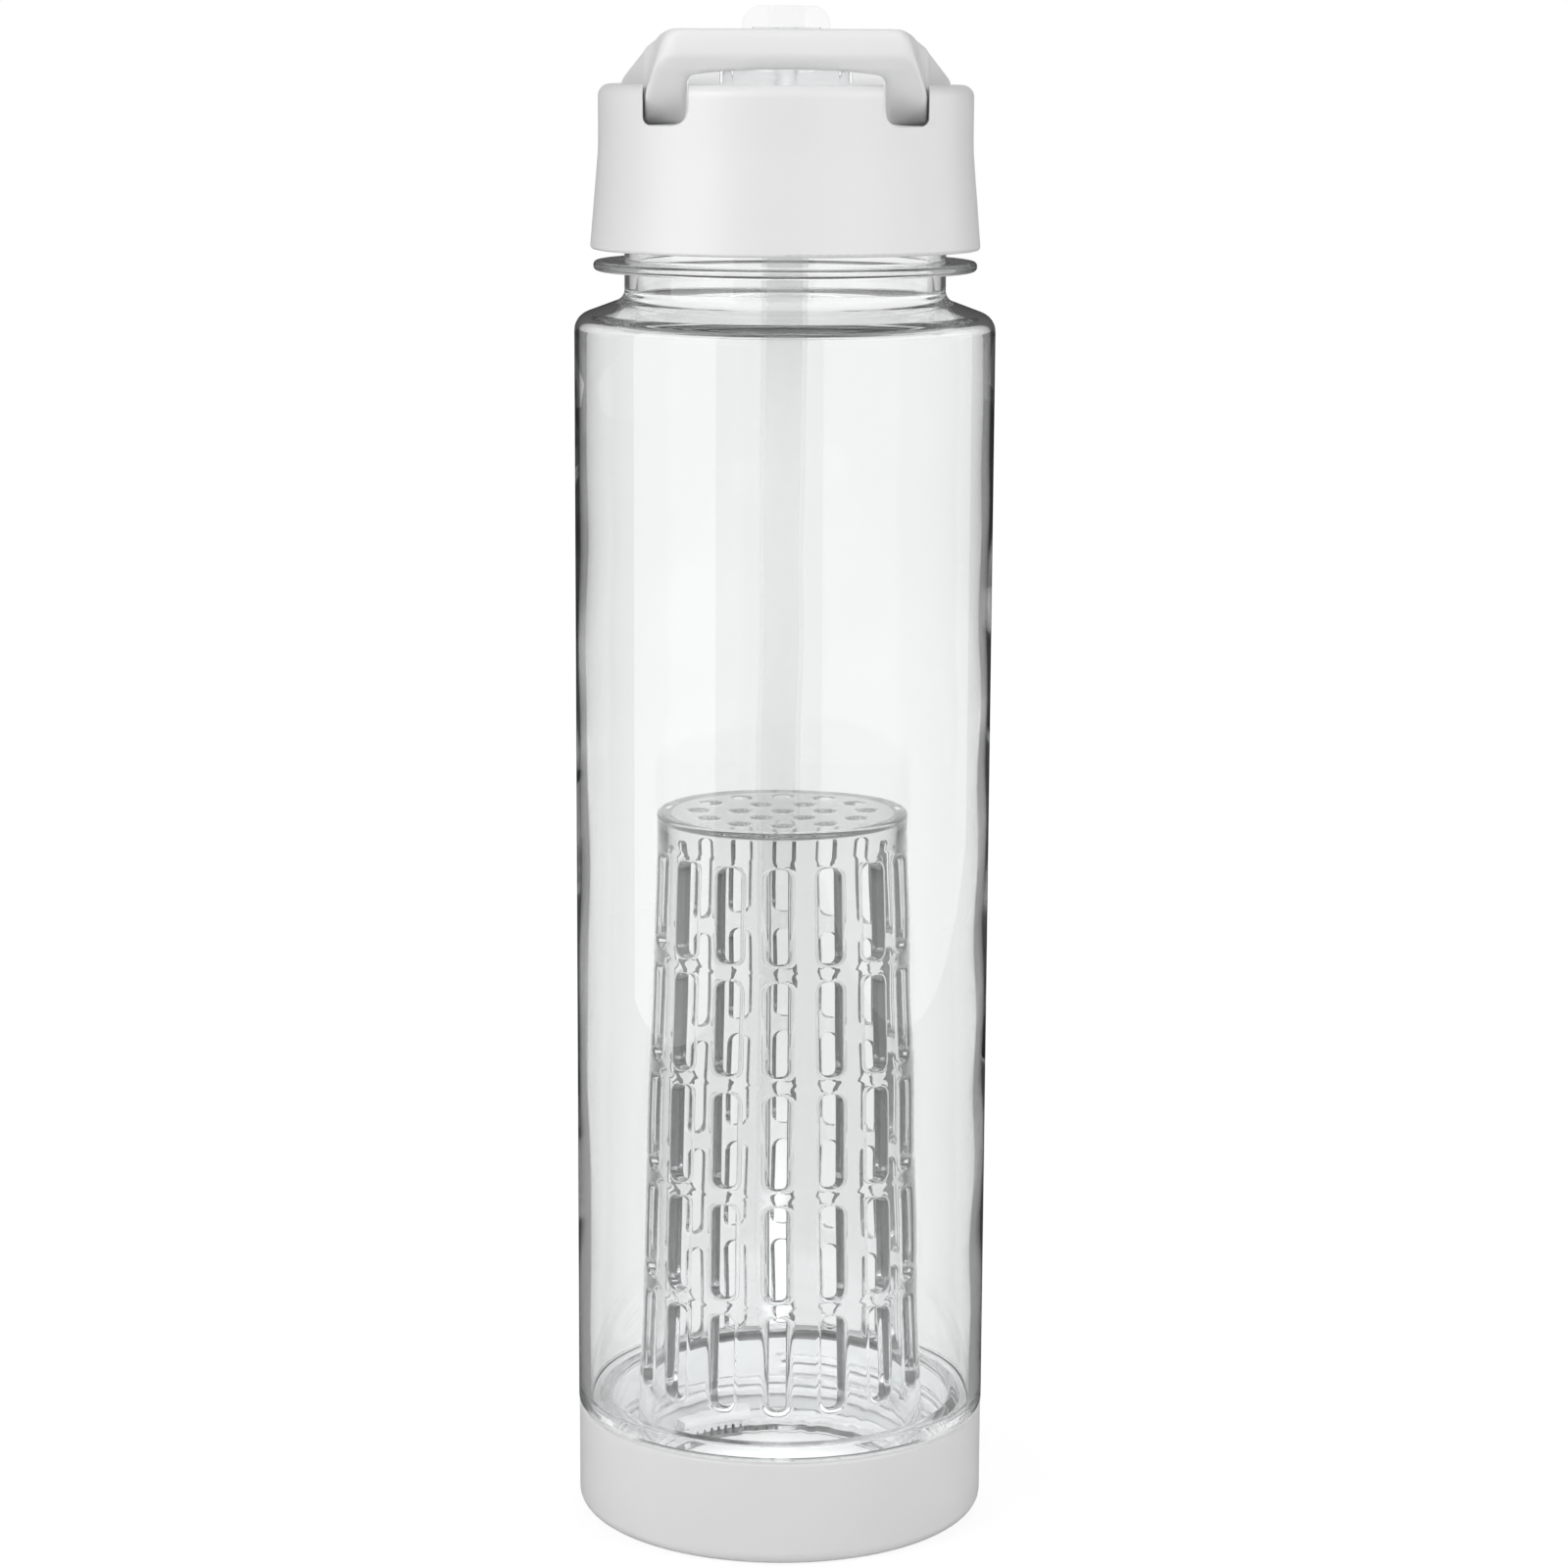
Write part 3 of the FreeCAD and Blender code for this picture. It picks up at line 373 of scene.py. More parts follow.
# the basket's crown, outside and inside
cells_top = top_slot_middle + slot_pitch / 2
cells_bottom = top_slot_middle - slot_pitch * (slot_rows - 1 / 2)
crown_height = basket_top - basket_crown_round
crown_middle = basket_radius(crown_height) - basket_crown_round
crown_support = crown_middle - slot_support
crown_steps = 6
outer_rings = [basket_ring(basket_radius(cells_top), cells_top)]
for out, down in reversed(quarter(crown_steps)):
    outer_rings.append(basket_ring(
        crown_middle + basket_crown_round * (1 - out), basket_top - basket_crown_round * down))
outer_rings.append(basket_ring(crown_support, basket_top))
skin(basket_mesh, outer_rings)
inner_corner = basket_radius(basket_ceiling) - basket_wall
inner_rings = [basket_ring(basket_radius(cells_top) - basket_wall, cells_top)]
for out, down in reversed(quarter(edge_steps)):
    inner_rings.append(basket_ring(
        inner_corner - basket_inner_round * out, basket_ceiling - basket_inner_round * down))
inner_rings.append(basket_ring(inner_corner - basket_inner_round - slot_support, basket_ceiling))
skin(basket_mesh, inner_rings)

# the drain holes in the basket's top
drain_radius = 0.0017
drain_inner_distance = 0.0072
drain_outer_distance = 0.0142
drain_rings = ((1, 0), (6, drain_inner_distance), (12, drain_outer_distance))
drain_sides = 28
drain_edge = 0.0003
drain_margin = drain_edge + slot_support
drain_finish_index = 1


def drain_ring(centre, grow, height):
    """A level ring round one drain hole, set off outwards."""
    points = []
    for k in range(drain_sides):
        turn = 2 * math.pi * k / drain_sides
        reach = drain_radius + grow
        points.append((centre[0] + reach * math.cos(turn), centre[1] + reach * math.sin(turn), height))
    return ring_of(basket_mesh, points)


def fill_with_holes(mesh, outer, holes):
    """A flat face inside a ring, with round holes left open."""
    edges = []
    for ring in (outer, *holes):
        for i, corner in enumerate(ring):
            edges.append(mesh.edges.get((corner, ring[(i + 1) % len(ring)])))
    bmesh.ops.triangle_fill(mesh, use_beauty=True, edges=edges)


drain_soft = [(drain_edge * out, drain_edge * down) for out, down in quarter(edge_steps)]
top_holes = []
ceiling_holes = []
for count, distance in drain_rings:
    for k in range(count):
        turn = 2 * math.pi * k / count
        centre = (distance * math.cos(turn), distance * math.sin(turn))
        rings = [drain_ring(centre, drain_margin, basket_top)]
        rings += [drain_ring(centre, out, basket_top - down) for out, down in drain_soft]
        rings += [drain_ring(centre, out, basket_ceiling + down) for out, down in reversed(drain_soft)]
        rings += [drain_ring(centre, drain_margin, basket_ceiling)]
        skin(basket_mesh, rings, drain_finish_index)
        top_holes.append(rings[0])
        ceiling_holes.append(rings[-1])
fill_with_holes(basket_mesh, outer_rings[-1], top_holes)
fill_with_holes(basket_mesh, inner_rings[-1], ceiling_holes)

# the plain foot of the basket
foot_steps = 4
foot_top = basket_bottom + basket_foot_edge
foot_rings = []
for k in range(foot_steps + 1):
    height = cells_bottom + (foot_top - cells_bottom) * k / foot_steps
    foot_rings.append(basket_ring(basket_radius(height), height))
for out, down in reversed(quarter(edge_steps)):
    foot_rings.append(basket_ring(
        basket_foot_radius - basket_foot_edge * out, basket_bottom + basket_foot_edge * down))
inner_foot = basket_foot_radius - basket_wall
for out, down in quarter(edge_steps):
    foot_rings.append(basket_ring(
        inner_foot + basket_foot_edge * out, basket_bottom + basket_foot_edge * down))
for k in range(1, foot_steps + 1):
    height = foot_top + (cells_bottom - foot_top) * k / foot_steps
    foot_rings.append(basket_ring(basket_radius(height) - basket_wall, height))
skin(basket_mesh, foot_rings)

# the three bayonet lugs on the basket's foot
lug_radius = basket_high.x
lug_count = 3
lug_thickness = 0.002
lug_top = basket_bottom + lug_thickness
lug_sweep = math.radians(26)
lug_steps = 8
lug_section = (
    (basket_foot_radius, basket_bottom), (lug_radius, basket_bottom),
    (lug_radius, lug_top), (basket_radius(lug_top), lug_top))
for k in range(lug_count):
    sections = []
    for step in range(lug_steps + 1):
        turn = math.pi / 2 + 2 * math.pi * k / lug_count + lug_sweep * (step / lug_steps - 1 / 2)
        sections.append(ring_of(
            basket_mesh, [basket_point(radius, turn, height) for radius, height in lug_section]))
    skin_with_ends(basket_mesh, sections)

basket_tint = (0.985, 0.99, 0.99)
basket_refraction = 1.53
basket_wave_height = 0.00002
basket_clear = clear_plastic(
    "basket_clear", basket_tint, basket_refraction, roughness=0.0,
    wave_height=basket_wave_height, clear_share=1.0)
drain_frosted = clear_plastic(
    "drain_frosted", basket_tint, basket_refraction, roughness=0.06,
    wave_height=basket_wave_height, clear_share=0.8)
basket = make_piece(basket_mesh, "infuser_slotted", basket_clear)
basket.data.materials.append(drain_frosted)
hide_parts("infuser_basket")
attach(basket, "infuser")


# Bottle body. One clear moulding: straight wall, sloping shoulder, threaded neck with a flat flange
# under the lid, and below the wall a threaded spigot for the base.
# Thick clear plastic, blown to shape, so that its inside is slightly uneven.
def corner_arc(before, corner, after, bend, steps):
    """Points along the round of one corner of a section."""
    to_before = (before - corner).normalized()
    to_after = (after - corner).normalized()
    half_angle = to_before.angle(to_after) / 2
    centre = corner + (to_before + to_after).normalized() * bend / math.sin(half_angle)
    first = corner + to_before * bend / math.tan(half_angle) - centre
    last = corner + to_after * bend / math.tan(half_angle) - centre
    sweep = math.pi - 2 * half_angle
    points = []
    for k in range(steps + 1):
        share = k / steps
        swung = first * math.sin((1 - share) * sweep) + last * math.sin(share * sweep)
        points.append(centre + swung / math.sin(sweep))
    return points


def straight_run(start, end, support, longest):
    """Points inside a straight run: one close to each end, and the others at most the longest step apart."""
    length = (end - start).length
    if length < 3 * support:
        return []
    way = (end - start) / length
    steps = math.ceil((length - 2 * support) / longest)
    return [start + way * (support + (length - 2 * support) * k / steps) for k in range(steps + 1)]


spigot_bore = 0.0293
spigot_radius = 0.0313
spigot_bottom = 0.005
body_bore = 0.033
body_radius = 0.035
body_bottom = 0.0183
body_floor = 0.0203
body_foot_round = 0.0006
shoulder_height = 0.2054
shoulder_round = 0.0032
shoulder_inner_height = 0.20401
shoulder_inner_round = 0.0012
neck_bore = 0.02445
neck_radius = 0.02665
neck_bottom = 0.208505
neck_inner_bottom = 0.20719
neck_bottom_round = 0.002
neck_top = 0.2317
neck_top_round = 0.0008
flange_radius = 0.0318
flange_bottom = 0.2131
flange_top = 0.2147
flange_round = 0.0007
sharp_edge = 0.0002
wall_step = 0.004
thread_step = 0.0003
# each corner of the section: radius, height, round, and the longest step to the next corner
body_corners = (
    (spigot_bore, spigot_bottom, sharp_edge, wall_step),
    (spigot_radius, spigot_bottom, sharp_edge, thread_step),
    (spigot_radius, body_bottom, sharp_edge, wall_step),
    (body_radius, body_bottom, body_foot_round, wall_step),
    (body_radius, shoulder_height, shoulder_round, wall_step),
    (neck_radius, neck_bottom, neck_bottom_round, wall_step),
    (neck_radius, flange_bottom, sharp_edge, wall_step),
    (flange_radius, flange_bottom, flange_round, wall_step),
    (flange_radius, flange_top, flange_round, wall_step),
    (neck_radius, flange_top, sharp_edge, thread_step),
    (neck_radius, neck_top, neck_top_round, wall_step),
    (neck_bore, neck_top, neck_top_round, wall_step),
    (neck_bore, neck_inner_bottom, neck_bottom_round, wall_step),
    (body_bore, shoulder_inner_height, shoulder_inner_round, wall_step),
    (body_bore, body_floor, body_foot_round, wall_step),
    (spigot_bore, body_floor, body_foot_round, wall_step))
body_arc_steps = 6
body_support = 0.0003
arcs = []
for i, (*corner, bend, _) in enumerate(body_corners):
    before = Vector(body_corners[i - 1][:2])
    after = Vector(body_corners[(i + 1) % len(body_corners)][:2])
    arcs.append(corner_arc(before, Vector(corner), after, bend, body_arc_steps))
body_section = []
for arc, next_arc, (*_, longest) in zip(arcs, arcs[1:] + arcs[:1], body_corners):
    body_section += arc
    body_section += straight_run(arc[-1], next_arc[0], body_support, longest)

thread_turns = 1.25
neck_thread = {"start": 0.2215, "lead": 0.005, "foot": 0.0022, "crest": 0.001, "height": 0.0012}
spigot_thread = {"start": 0.0092, "lead": 0.004, "foot": 0.0018, "crest": 0.0008, "height": 0.0012}


def thread_rise(thread, turn, height):
    """How far a thread's ridge stands out from its wall at one place."""
    rise = 0
    for lap in range(math.ceil(thread_turns)):
        along = turn / (2 * math.pi) + lap
        if along <= thread_turns:
            off = abs(height - thread["start"] - thread["lead"] * along)
            share = (thread["foot"] / 2 - off) / ((thread["foot"] - thread["crest"]) / 2)
            rise = max(rise, thread["height"] * min(max(share, 0), 1))
    return rise


wave_depth = 0.00025
wave_bottom = 0.024
wave_top = 0.199
wave_fade = 0.02
wave_middle_share = 0.5
long_wave = 0.062
long_wave_lobes = 2
long_wave_share = 0.3
short_wave = 0.027
short_wave_lobes = 3
short_wave_share = 0.2


def wall_wave(turn, height):
    """How much wider the uneven inside of the wall is at one place, from nothing up to the wave's depth."""
    fade = min(max(min(height - wave_bottom, wave_top - height) / wave_fade, 0), 1)
    slow = math.sin(2 * math.pi * height / long_wave + long_wave_lobes * turn)
    quick = math.sin(2 * math.pi * height / short_wave - short_wave_lobes * turn)
    return wave_depth * fade * (wave_middle_share + long_wave_share * slow + short_wave_share * quick)


def body_reach(radius, turn, height):
    """The body's radius at one place of its section, with the threads and the uneven inside."""
    if abs(radius - neck_radius) < weld_gap:
        return radius + thread_rise(neck_thread, turn, height)
    if abs(radius - spigot_radius) < weld_gap:
        return radius + thread_rise(spigot_thread, turn, height)
    if abs(radius - body_bore) < weld_gap:
        return radius + wall_wave(turn, height)
    return radius


body_sides = 192
body_mesh = bmesh.new()
body_turns = [2 * math.pi * k / body_sides for k in range(body_sides)]
body_rings = []
for radius, height in body_section:
    points = []
    for turn in body_turns:
        reach = body_reach(radius, turn, height)
        points.append((reach * math.cos(turn), reach * math.sin(turn), height))
    body_rings.append(ring_of(body_mesh, points))
skin(body_mesh, body_rings + body_rings[:1])

body_wave_height = 0.00003
body_clear = clear_plastic(
    "body_clear", tint=(0.968, 0.971, 0.972), refraction=1.57, roughness=0.0,
    wave_height=body_wave_height, clear_share=1.0)
body = make_piece(body_mesh, "bottle_body_turned", body_clear)
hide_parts("bottle_body")
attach(body, "bottle")

# Straw. A plain translucent tube that hangs from the lid and bends back behind the basket.
# Extruded soft plastic, pushed on the nipple under the lid.
translucent_refraction = 1.45


def translucent_plastic(name, tint, milky_share):
    """Soft plastic that is part milky and part see-through."""
    finish, shader = hazy_finish(name, tint, haze_scale=90.0, dark_share=0.97, roughness=0.35)
    shader.inputs["IOR"].default_value = translucent_refraction
    shader.inputs["Alpha"].default_value = milky_share
    return finish


straw_milky = translucent_plastic("straw_milky", tint=(0.97, 0.975, 0.975), milky_share=0.15)
dress("straw", straw_milky)

# Lid. A liner with the thread inside a white shell with a deck, a raised rim and the spout's cradle.
# Injection-moulded opaque plastic, the shell snapped over the liner.
lid_white = moulded_white(
    "lid_white", light_shade=(0.86, 0.86, 0.86), dark_shade=(0.83, 0.83, 0.835),
    gloss_range=(0.32, 0.40), shine_share=1.0)
dress("lid_liner", lid_white)
dress("lid_shell", lid_white)

# Spout. A clear barrel with a flat stem, and over the stem a soft mouthpiece.
# Clear moulded plastic turning in the cradle, with translucent silicone pushed on.
spout_wave_height = 0.00001
spout_clear = clear_plastic(
    "spout_clear", tint=(0.98, 0.985, 0.99), refraction=1.53, roughness=0.02,
    wave_height=spout_wave_height, clear_share=0.7)
dress("flip_spout", spout_clear)
mouthpiece_milky = translucent_plastic("mouthpiece_milky", tint=(0.99, 0.99, 0.99), milky_share=0.1)
dress("mouthpiece", mouthpiece_milky)


# Carry handle. A bar in front of the lid on two arms that pivot inside the rim.
# Injection-moulded opaque plastic with soft edges all round, sprung into the pivot holes.
def eased_corner(arrive, corner, leave, steps):
    """Points along the curve that eases a corner, from where it is reached to where it is left."""
    points = []
    for k in range(steps + 1):
        share = k / steps
        points.append(arrive.lerp(corner, share).lerp(corner.lerp(leave, share), share))
    return points


def rounded_path(corners, bends, run_steps, bend_steps):
    """Points through the corners of a path, with each inner corner eased over its bend to both sides."""
    points = [Vector(corners[0])]
    for i in range(1, len(corners)):
        here = Vector(corners[i])
        before = Vector(corners[i - 1])
        inner = i < len(corners) - 1
        arrive = here + (before - here).normalized() * bends[i - 1] if inner else here
        start = points[-1]
        points += [start.lerp(arrive, k / run_steps[i - 1]) for k in range(1, run_steps[i - 1] + 1)]
        if inner:
            leave = here + (Vector(corners[i + 1]) - here).normalized() * bends[i - 1]
            points += eased_corner(arrive, here, leave, bend_steps)[1:]
    return points


handle_low, handle_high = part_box("carry_handle")
handle_front = handle_low.y
handle_rear = handle_high.y
handle_bottom = handle_low.z
handle_top = handle_high.z
handle_side = 0.0272
handle_arm = 0.0048
handle_inside = handle_side - handle_arm
handle_depth = 0.0053
bar_back = handle_front + handle_depth
bar_half = 0.0202
bar_inner_half = 0.0158
leg_front = (0.02265, -0.0205)
leg_rear = (0.02275, -0.015)
leg_inner_front = (0.01585, -0.0195)
leg_inner_rear = (0.016, -0.0155)
arm_start = -0.0015
arm_end = 0.0008
outer_bends = (0.0036, 0.0012, 0.0026, 0.001)
inner_bends = (0.0016, 0.0008, 0.0026, 0.001)
path_steps = (9, 5, 3, 5, 1)
path_bend_steps = 7
outer_path = rounded_path(
    ((0, handle_front), (bar_half, handle_front), leg_front, leg_rear,
     (handle_side, arm_start), (handle_side, arm_end)),
    outer_bends, path_steps, path_bend_steps)
inner_path = rounded_path(
    ((0, bar_back), (bar_inner_half, bar_back), leg_inner_front, leg_inner_rear,
     (handle_inside, arm_start), (handle_inside, arm_end)),
    inner_bends, path_steps, path_bend_steps)
leg_foot = -0.0162
leg_rise = 0.009
leg_run = 0.0103
arch_rise = 0.0014
arch_height = 0.2459
arch_half = 0.0157
chin_depth = 0.0023
chin_height = 0.2478
slope_front = -0.0215
slope_rear = 0.001
slope_drop = 0.0083
slope_ease = 0.0012
arm_chamfer = 0.0006
lean_reach = 0.0019
lean_end = -0.015
lean_run = 0.0045


def handle_crown(y):
    """Height of the handle's top: level over the bar, then falling to the pivots, eased between the two."""
    fall = (y - slope_front) / (slope_rear - slope_front) * slope_drop
    return handle_top - (fall + math.hypot(fall, slope_ease)) / 2


def leg_height(y):
    """Height of the arm's underside: level at the deck, then rising along the leg's slanted front."""
    rise = (leg_foot - y) * leg_rise / leg_run
    return handle_bottom + (rise + math.hypot(rise, slope_ease)) / 2


def handle_corners(outer, inner, turn):
    """The five corners of the handle's section at one place, from bar (turn 0) to arm (turn 1)."""
    ease = turn * turn * (3 - 2 * turn)
    inwards = (inner - outer).normalized()
    under = outer + inwards * (chin_depth + (arm_chamfer - chin_depth) * ease)
    arch = arch_height - arch_rise * (min(abs(inner.x), arch_half) / arch_half) ** 2
    inner_low = arch + (leg_height(inner.y) - arch) * ease
    under_low = arch_height + (leg_height(under.y) - arch_height) * ease
    chin_low = chin_height + (leg_height(outer.y) + arm_chamfer - chin_height) * ease
    lean = lean_reach * ease * min(max((lean_end - outer.y) / lean_run, 0), 1)
    top = outer + inwards * lean
    return [
        Vector((*top, handle_crown(top.y))), Vector((*inner, handle_crown(inner.y))),
        Vector((*inner, inner_low)), Vector((*under, under_low)), Vector((*outer, chin_low))]


edge_bends = (0.002, 0.0016, 0.0014, 0.0008, 0.001)
edge_most_share = 0.48
edge_round_steps = 4


def softened(corners):
    """A closed ring of points round a section, with each corner eased over no more than half a side."""
    ring = []
    for i, corner in enumerate(corners):
        to_before = corners[i - 1] - corner
        to_after = corners[(i + 1) % len(corners)] - corner
        arrive = corner + to_before.normalized() * min(edge_bends[i], to_before.length * edge_most_share)
        leave = corner + to_after.normalized() * min(edge_bends[i], to_after.length * edge_most_share)
        ring += eased_corner(arrive, corner, leave, edge_round_steps)
    return ring


bar_steps = path_steps[0]
half_sections = []
for k, (outer, inner) in enumerate(zip(outer_path, inner_path)):
    turn = min(max((k - bar_steps) / path_bend_steps, 0), 1)
    half_sections.append(softened(handle_corners(outer, inner, turn)))

# the rounded ends of the arms behind the pivots
pivot_height = 0.2399
pivot_radius = 0.002
end_steps = 6
end_least_share = 0.12
last_outer = outer_path[-1]
last_inner = inner_path[-1]
for k in range(1, end_steps + 1):
    turn = math.pi / 2 * k / end_steps
    y = last_outer.y + (handle_rear - last_outer.y) * math.sin(turn)
    shrink = max(math.cos(turn), end_least_share)
    high = pivot_height + (handle_crown(last_outer.y) - pivot_height) * shrink * shrink
    low = pivot_height + (handle_bottom - pivot_height) * shrink
    half_sections.append(softened([
        Vector((last_outer.x, y, high)), Vector((last_inner.x, y, high)), Vector((last_inner.x, y, low)),
        Vector((last_outer.x - arm_chamfer, y, low)),
        Vector((last_outer.x, y, low + arm_chamfer * shrink))]))

handle_mesh = bmesh.new()
other_half = []
for section in reversed(half_sections[1:]):
    other_half.append([Vector((-point.x, point.y, point.z)) for point in section])
handle_rings = [ring_of(handle_mesh, section) for section in other_half + half_sections]
skin_with_ends(handle_mesh, handle_rings)

# the two pivots
pin_sides = 32
pin_edge = 0.0003
pin_root = handle_side - arm_chamfer
pin_end = handle_high.x
pin_turns = [2 * math.pi * k / pin_sides for k in range(pin_sides)]
pin_steps = (
    (pivot_radius, pin_root), (pivot_radius, pin_end - pin_edge), (pivot_radius - pin_edge, pin_end))
for way in (-1, 1):
    pin_rings = []
    for radius, reach in pin_steps:
        points = []
        for turn in pin_turns:
            points.append((way * reach, radius * math.cos(turn), pivot_height + radius * math.sin(turn)))
        pin_rings.append(ring_of(handle_mesh, points))
    skin_with_ends(handle_mesh, pin_rings)

handle_white = moulded_white(
    "handle_white", light_shade=(0.87, 0.87, 0.87), dark_shade=(0.84, 0.84, 0.845),
    gloss_range=(0.34, 0.42), shine_share=0.5)
handle = make_piece(handle_mesh, "carry_handle_soft", handle_white)
rounding = handle.modifiers.new("rounding", "SUBSURF")
rounding.levels = 1
rounding.render_levels = 1
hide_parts("carry_handle")
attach(handle, "handle")

# Studio. A pale matt floor that runs into a white surround, with soft lamps left, right, above, behind and
# low in front, a small one in the basket's foot, and two panels that show only in reflections.
# To light that was mirrored on its way, the floor and the surround are darker, so that clear edges read dark.
floor_size = 6.0
floor_half = floor_size / 2
floor_mesh = bpy.data.meshes.new("floor")
floor_mesh.from_pydata(
    [(-floor_half, -floor_half, 0), (floor_half, -floor_half, 0),
     (floor_half, floor_half, 0), (-floor_half, floor_half, 0)], [], [(0, 1, 2, 3)])
floor = bpy.data.objects.new("floor", floor_mesh)
scene.collection.objects.link(floor)
floor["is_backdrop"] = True


def feed(links, socket, value):
    """Set a plain number on a socket, or link another node's number to it."""
    if isinstance(value, float):
        socket.default_value = value
    else:
        links.new(value, socket)


def worked_out(nodes, links, operation, one, other):
    """A number worked out from two others."""
    answer = nodes.new("ShaderNodeMath")
    answer.operation = operation
    feed(links, answer.inputs[0], one)
    feed(links, answer.inputs[1], other)
    return answer.outputs[0]


def between(nodes, links, factor, before, after):
    """A number between two others, by a factor from 0 to 1."""
    level = nodes.new("ShaderNodeMix")
    level.data_type = "FLOAT"
    feed(links, level.inputs["Factor"], factor)
    feed(links, level.inputs["A"], before)
    feed(links, level.inputs["B"], after)
    return level.outputs["Result"]


def eased(nodes, links, value, start, end, before, after):
    """A number that goes over softly from one level to another, between two values of a third."""
    ease = nodes.new("ShaderNodeMapRange")
    ease.interpolation_type = "SMOOTHSTEP"
    ease.inputs["From Min"].default_value = start
    ease.inputs["From Max"].default_value = end
    ease.inputs["To Min"].default_value = before
    ease.inputs["To Max"].default_value = after
    links.new(value, ease.inputs["Value"])
    return ease.outputs["Result"]


# counts of mirrorings and of crossed surfaces, each half way to the next whole number
first_mirroring = 0.5
wall_crossings = 0.5
inside_crossings = 2.5
basket_crossings = 4.5


def seen_plainly(nodes, links, rays):
    """A factor of 1 for what is seen straight or through clear plastic, and 0 after any mirroring."""
    straight = worked_out(
        nodes, links, "MAXIMUM", rays.outputs["Is Camera Ray"], rays.outputs["Is Transmission Ray"])
    unmirrored = worked_out(nodes, links, "LESS_THAN", rays.outputs["Glossy Depth"], first_mirroring)
    return worked_out(nodes, links, "MULTIPLY", straight, unmirrored)


def level_with_painted_reflections(nodes, links, rays, open_level, outside, wall, inside, basket):
    """A level for open light, and painted reflections: levels for light mirrored outside, in the wall, inside
    or in the basket.
    """
    crossed = rays.outputs["Transmission Depth"]
    level = outside
    for count, next_level in ((wall_crossings, wall), (inside_crossings, inside), (basket_crossings, basket)):
        passed = worked_out(nodes, links, "GREATER_THAN", crossed, count)
        level = between(nodes, links, passed, level, next_level)
    mirrored = worked_out(nodes, links, "GREATER_THAN", rays.outputs["Glossy Depth"], first_mirroring)
    return between(nodes, links, mirrored, open_level, level)


# painted reflection: the sines of the directions where mirrored light goes over from dark to lighter
slant_start = 0.34
slant_end = 0.44


def painted_reflection_slant(nodes, links, direction, straight, slanted):
    """Painted reflection: a level rising from straight behind or beside the bottle to the directions between.
    """
    level_way = nodes.new("ShaderNodeVectorMath")
    level_way.operation = "MULTIPLY"
    level_way.inputs[1].default_value = (1, 1, 0)
    links.new(direction, level_way.inputs[0])
    unit_way = nodes.new("ShaderNodeVectorMath")
    unit_way.operation = "NORMALIZE"
    links.new(level_way.outputs["Vector"], unit_way.inputs[0])
    size = nodes.new("ShaderNodeVectorMath")
    size.operation = "ABSOLUTE"
    links.new(unit_way.outputs["Vector"], size.inputs[0])
    parts = nodes.new("ShaderNodeSeparateXYZ")
    links.new(size.outputs["Vector"], parts.inputs["Vector"])
    slant = worked_out(nodes, links, "MINIMUM", parts.outputs["X"], parts.outputs["Y"])
    return eased(nodes, links, slant, slant_start, slant_end, straight, slanted)


# the floor: white to the eye, a little less so close to the bottle, where it keeps the shadow
floor_glow = 1.04
near_radius = 0.1
far_radius = 0.5
near_share = 0.85
lamplit_radius = 0.65
unlit_radius = 0.95
painted_shade_share = 0.55
floor_pale, nodes, links = blank_finish("floor_pale")
nodes.remove(nodes["Principled BSDF"])
rays = nodes.new("ShaderNodeLightPath")
place = nodes.new("ShaderNodeTexCoord")
reach = nodes.new("ShaderNodeVectorMath")
reach.operation = "LENGTH"
links.new(place.outputs["Object"], reach.inputs[0])
white_share = eased(nodes, links, reach.outputs["Value"], near_radius, far_radius, near_share, 1.0)
white_share = worked_out(nodes, links, "MULTIPLY", seen_plainly(nodes, links, rays), white_share)
# painted reflection: to light mirrored in the wall, the floor is dark straight behind and beside the bottle,
# lighter between
painted_wall_reflection = painted_reflection_slant(nodes, links, place.outputs["Object"], straight=0.1, slanted=0.75)
# painted shade: near the bottle, where the lamps light the floor more, that painted reflection is darker to
# cancel them
lamplit_painted_shade = eased(nodes, links, reach.outputs["Value"], lamplit_radius, unlit_radius, painted_shade_share, 1.0)
painted_wall_reflection = worked_out(nodes, links, "MULTIPLY", painted_wall_reflection, lamplit_painted_shade)
# painted reflections: the floor's colour for mirrored light, by the surfaces crossed; open light sees its
# matt colour
floor_colour_and_painted_reflections = level_with_painted_reflections(
    nodes, links, rays, open_level=0.9, outside=0.05, wall=painted_wall_reflection, inside=0.9, basket=0.24)
matt = nodes.new("ShaderNodeBsdfDiffuse")
links.new(floor_colour_and_painted_reflections, matt.inputs["Color"])
glow = nodes.new("ShaderNodeEmission")
glow.inputs["Color"].default_value = (1.0, 1.0, 1.0, 1.0)
glow.inputs["Strength"].default_value = floor_glow
mixed = nodes.new("ShaderNodeMixShader")
links.new(white_share, mixed.inputs["Fac"])
links.new(matt.outputs["BSDF"], mixed.inputs[1])
links.new(glow.outputs["Emission"], mixed.inputs[2])
links.new(mixed.outputs["Shader"], nodes["Material Output"].inputs["Surface"])
floor_mesh.materials.append(floor_pale)

# the white surround, which shows painted reflection levels to mirrored light
world = bpy.data.worlds.new("studio")
scene.world = world
world.use_nodes = True
nodes = world.node_tree.nodes
links = world.node_tree.links
rays = nodes.new("ShaderNodeLightPath")
sky = nodes.new("ShaderNodeTexCoord")
# painted reflection: to light mirrored in the wall, the surround is dark straight behind and beside the
# bottle, lighter between
painted_wall_reflection_level = painted_reflection_slant(nodes, links, sky.outputs["Generated"], straight=0.15, slanted=0.7)
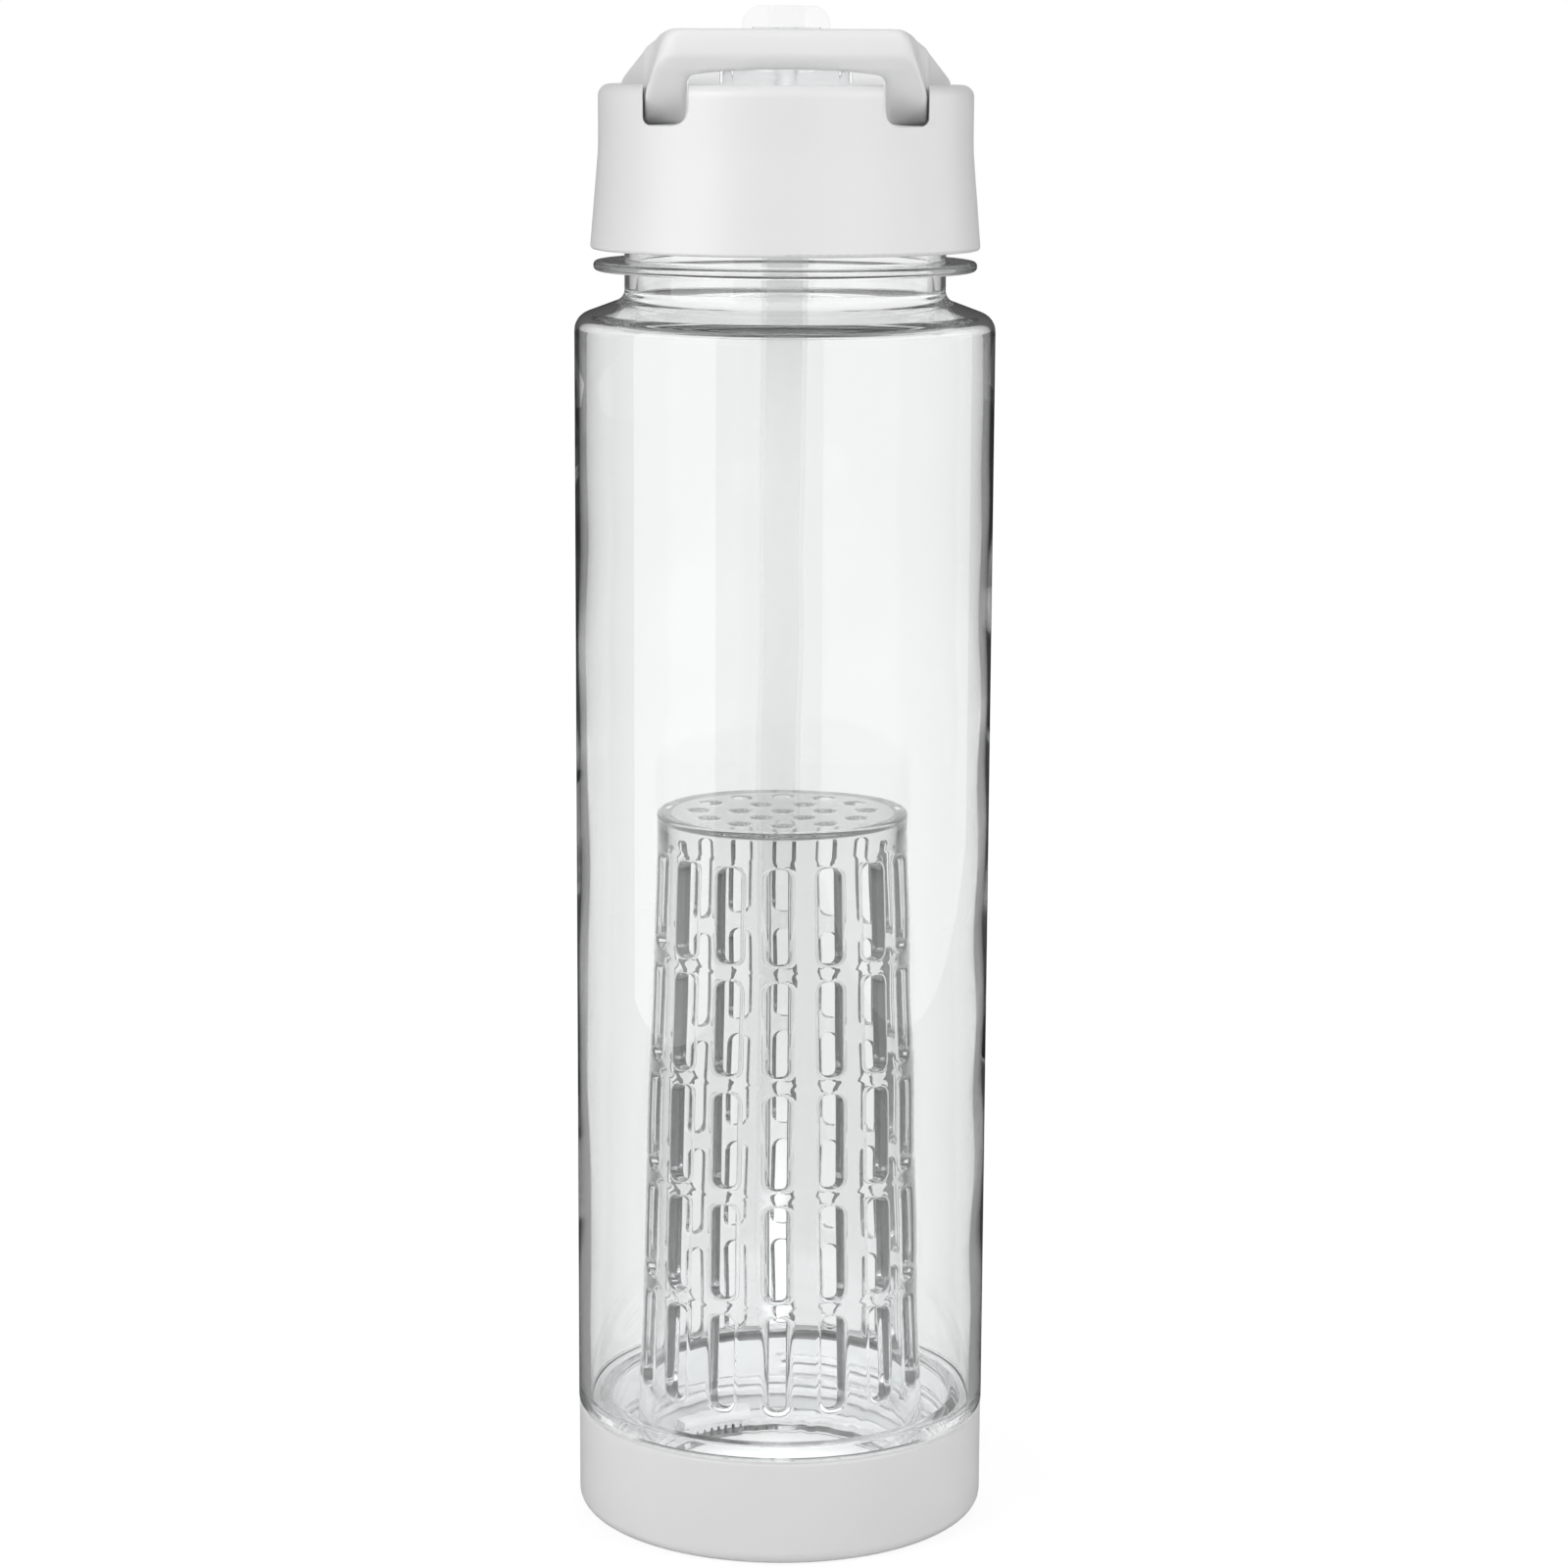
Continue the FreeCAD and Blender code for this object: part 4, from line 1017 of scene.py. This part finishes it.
# open light sees a dim surround that lights the pieces; mirrored light sees the painted reflection levels
ambient_and_painted_reflection = level_with_painted_reflections(
    nodes, links, rays, open_level=0.38, outside=0.04, wall=painted_wall_reflection_level, inside=0.95, basket=0.2)
surround = nodes["Background"]
surround.inputs["Color"].default_value = (1.0, 1.0, 1.0, 1.0)
surround_level = between(nodes, links, seen_plainly(nodes, links, rays), ambient_and_painted_reflection, 1.0)
links.new(surround_level, surround.inputs["Strength"])


def hang(lamp, spot, lights, mirrors):
    """Hang a lamp where the camera sees it neither straight nor through clear plastic."""
    holder = bpy.data.objects.new(lamp.name, lamp)
    holder.location = spot
    holder.visible_camera = False
    holder.visible_transmission = False
    holder.visible_diffuse = lights
    holder.visible_glossy = mirrors
    scene.collection.objects.link(holder)
    return holder


def soft_lamp(name, spot, aim, width, height, power, lights=True, mirrors=False):
    """A flat lamp turned towards a point, which lights the pieces or shows in their reflections."""
    lamp = bpy.data.lights.new(name, "AREA")
    lamp.shape = "RECTANGLE"
    lamp.size = width
    lamp.size_y = height
    lamp.energy = power
    holder = hang(lamp, spot, lights, mirrors)
    holder.rotation_euler = (Vector(aim) - Vector(spot)).to_track_quat("-Z", "Y").to_euler()


middle = (0, 0, (cad_low.z + cad_high.z) / 2)
soft_lamp("lamp_left", spot=(-0.62, -0.50, 0.7), aim=middle, width=0.4, height=0.6, power=3.8)
soft_lamp("lamp_right", spot=(0.68, -0.40, 0.7), aim=middle, width=0.4, height=0.6, power=2.6)
soft_lamp("lamp_top", spot=(0, -0.1, 1.1), aim=middle, width=0.8, height=0.8, power=1.2)
soft_lamp("lamp_back", spot=(0, 0.8, 0.5), aim=(0, 0, 0), width=0.6, height=0.4, power=3.0)
soft_lamp("lamp_low", spot=(0, -0.35, 0.005), aim=(0, -0.35, 0.3), width=0.5, height=0.3, power=0.2)
inside_lamp_height = 0.032
inside_lamp_size = 0.008
inside_lamp_power = 0.05
inside_lamp = bpy.data.lights.new("lamp_inside", "POINT")
inside_lamp.energy = inside_lamp_power
inside_lamp.shadow_soft_size = inside_lamp_size
hang(inside_lamp, (0, 0, inside_lamp_height), lights=True, mirrors=False)
panel_height = 0.33
panel_aim = (0, 0, panel_height)
soft_lamp(
    "panel_left", spot=(-0.333, -0.184, panel_height), aim=panel_aim, width=0.36, height=0.66,
    power=1.0, lights=False, mirrors=True)
soft_lamp(
    "panel_right", spot=(0.375, -0.135, panel_height), aim=panel_aim, width=0.95, height=0.66,
    power=1.7, lights=False, mirrors=True)

# light passes many clear surfaces on its way through the basket
scene.cycles.max_bounces = 96
scene.cycles.transmission_bounces = 64
scene.cycles.glossy_bounces = 64
scene.cycles.transparent_max_bounces = 32

# the box of the dressed bottle; that of the solids was taken after the import
low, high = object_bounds()
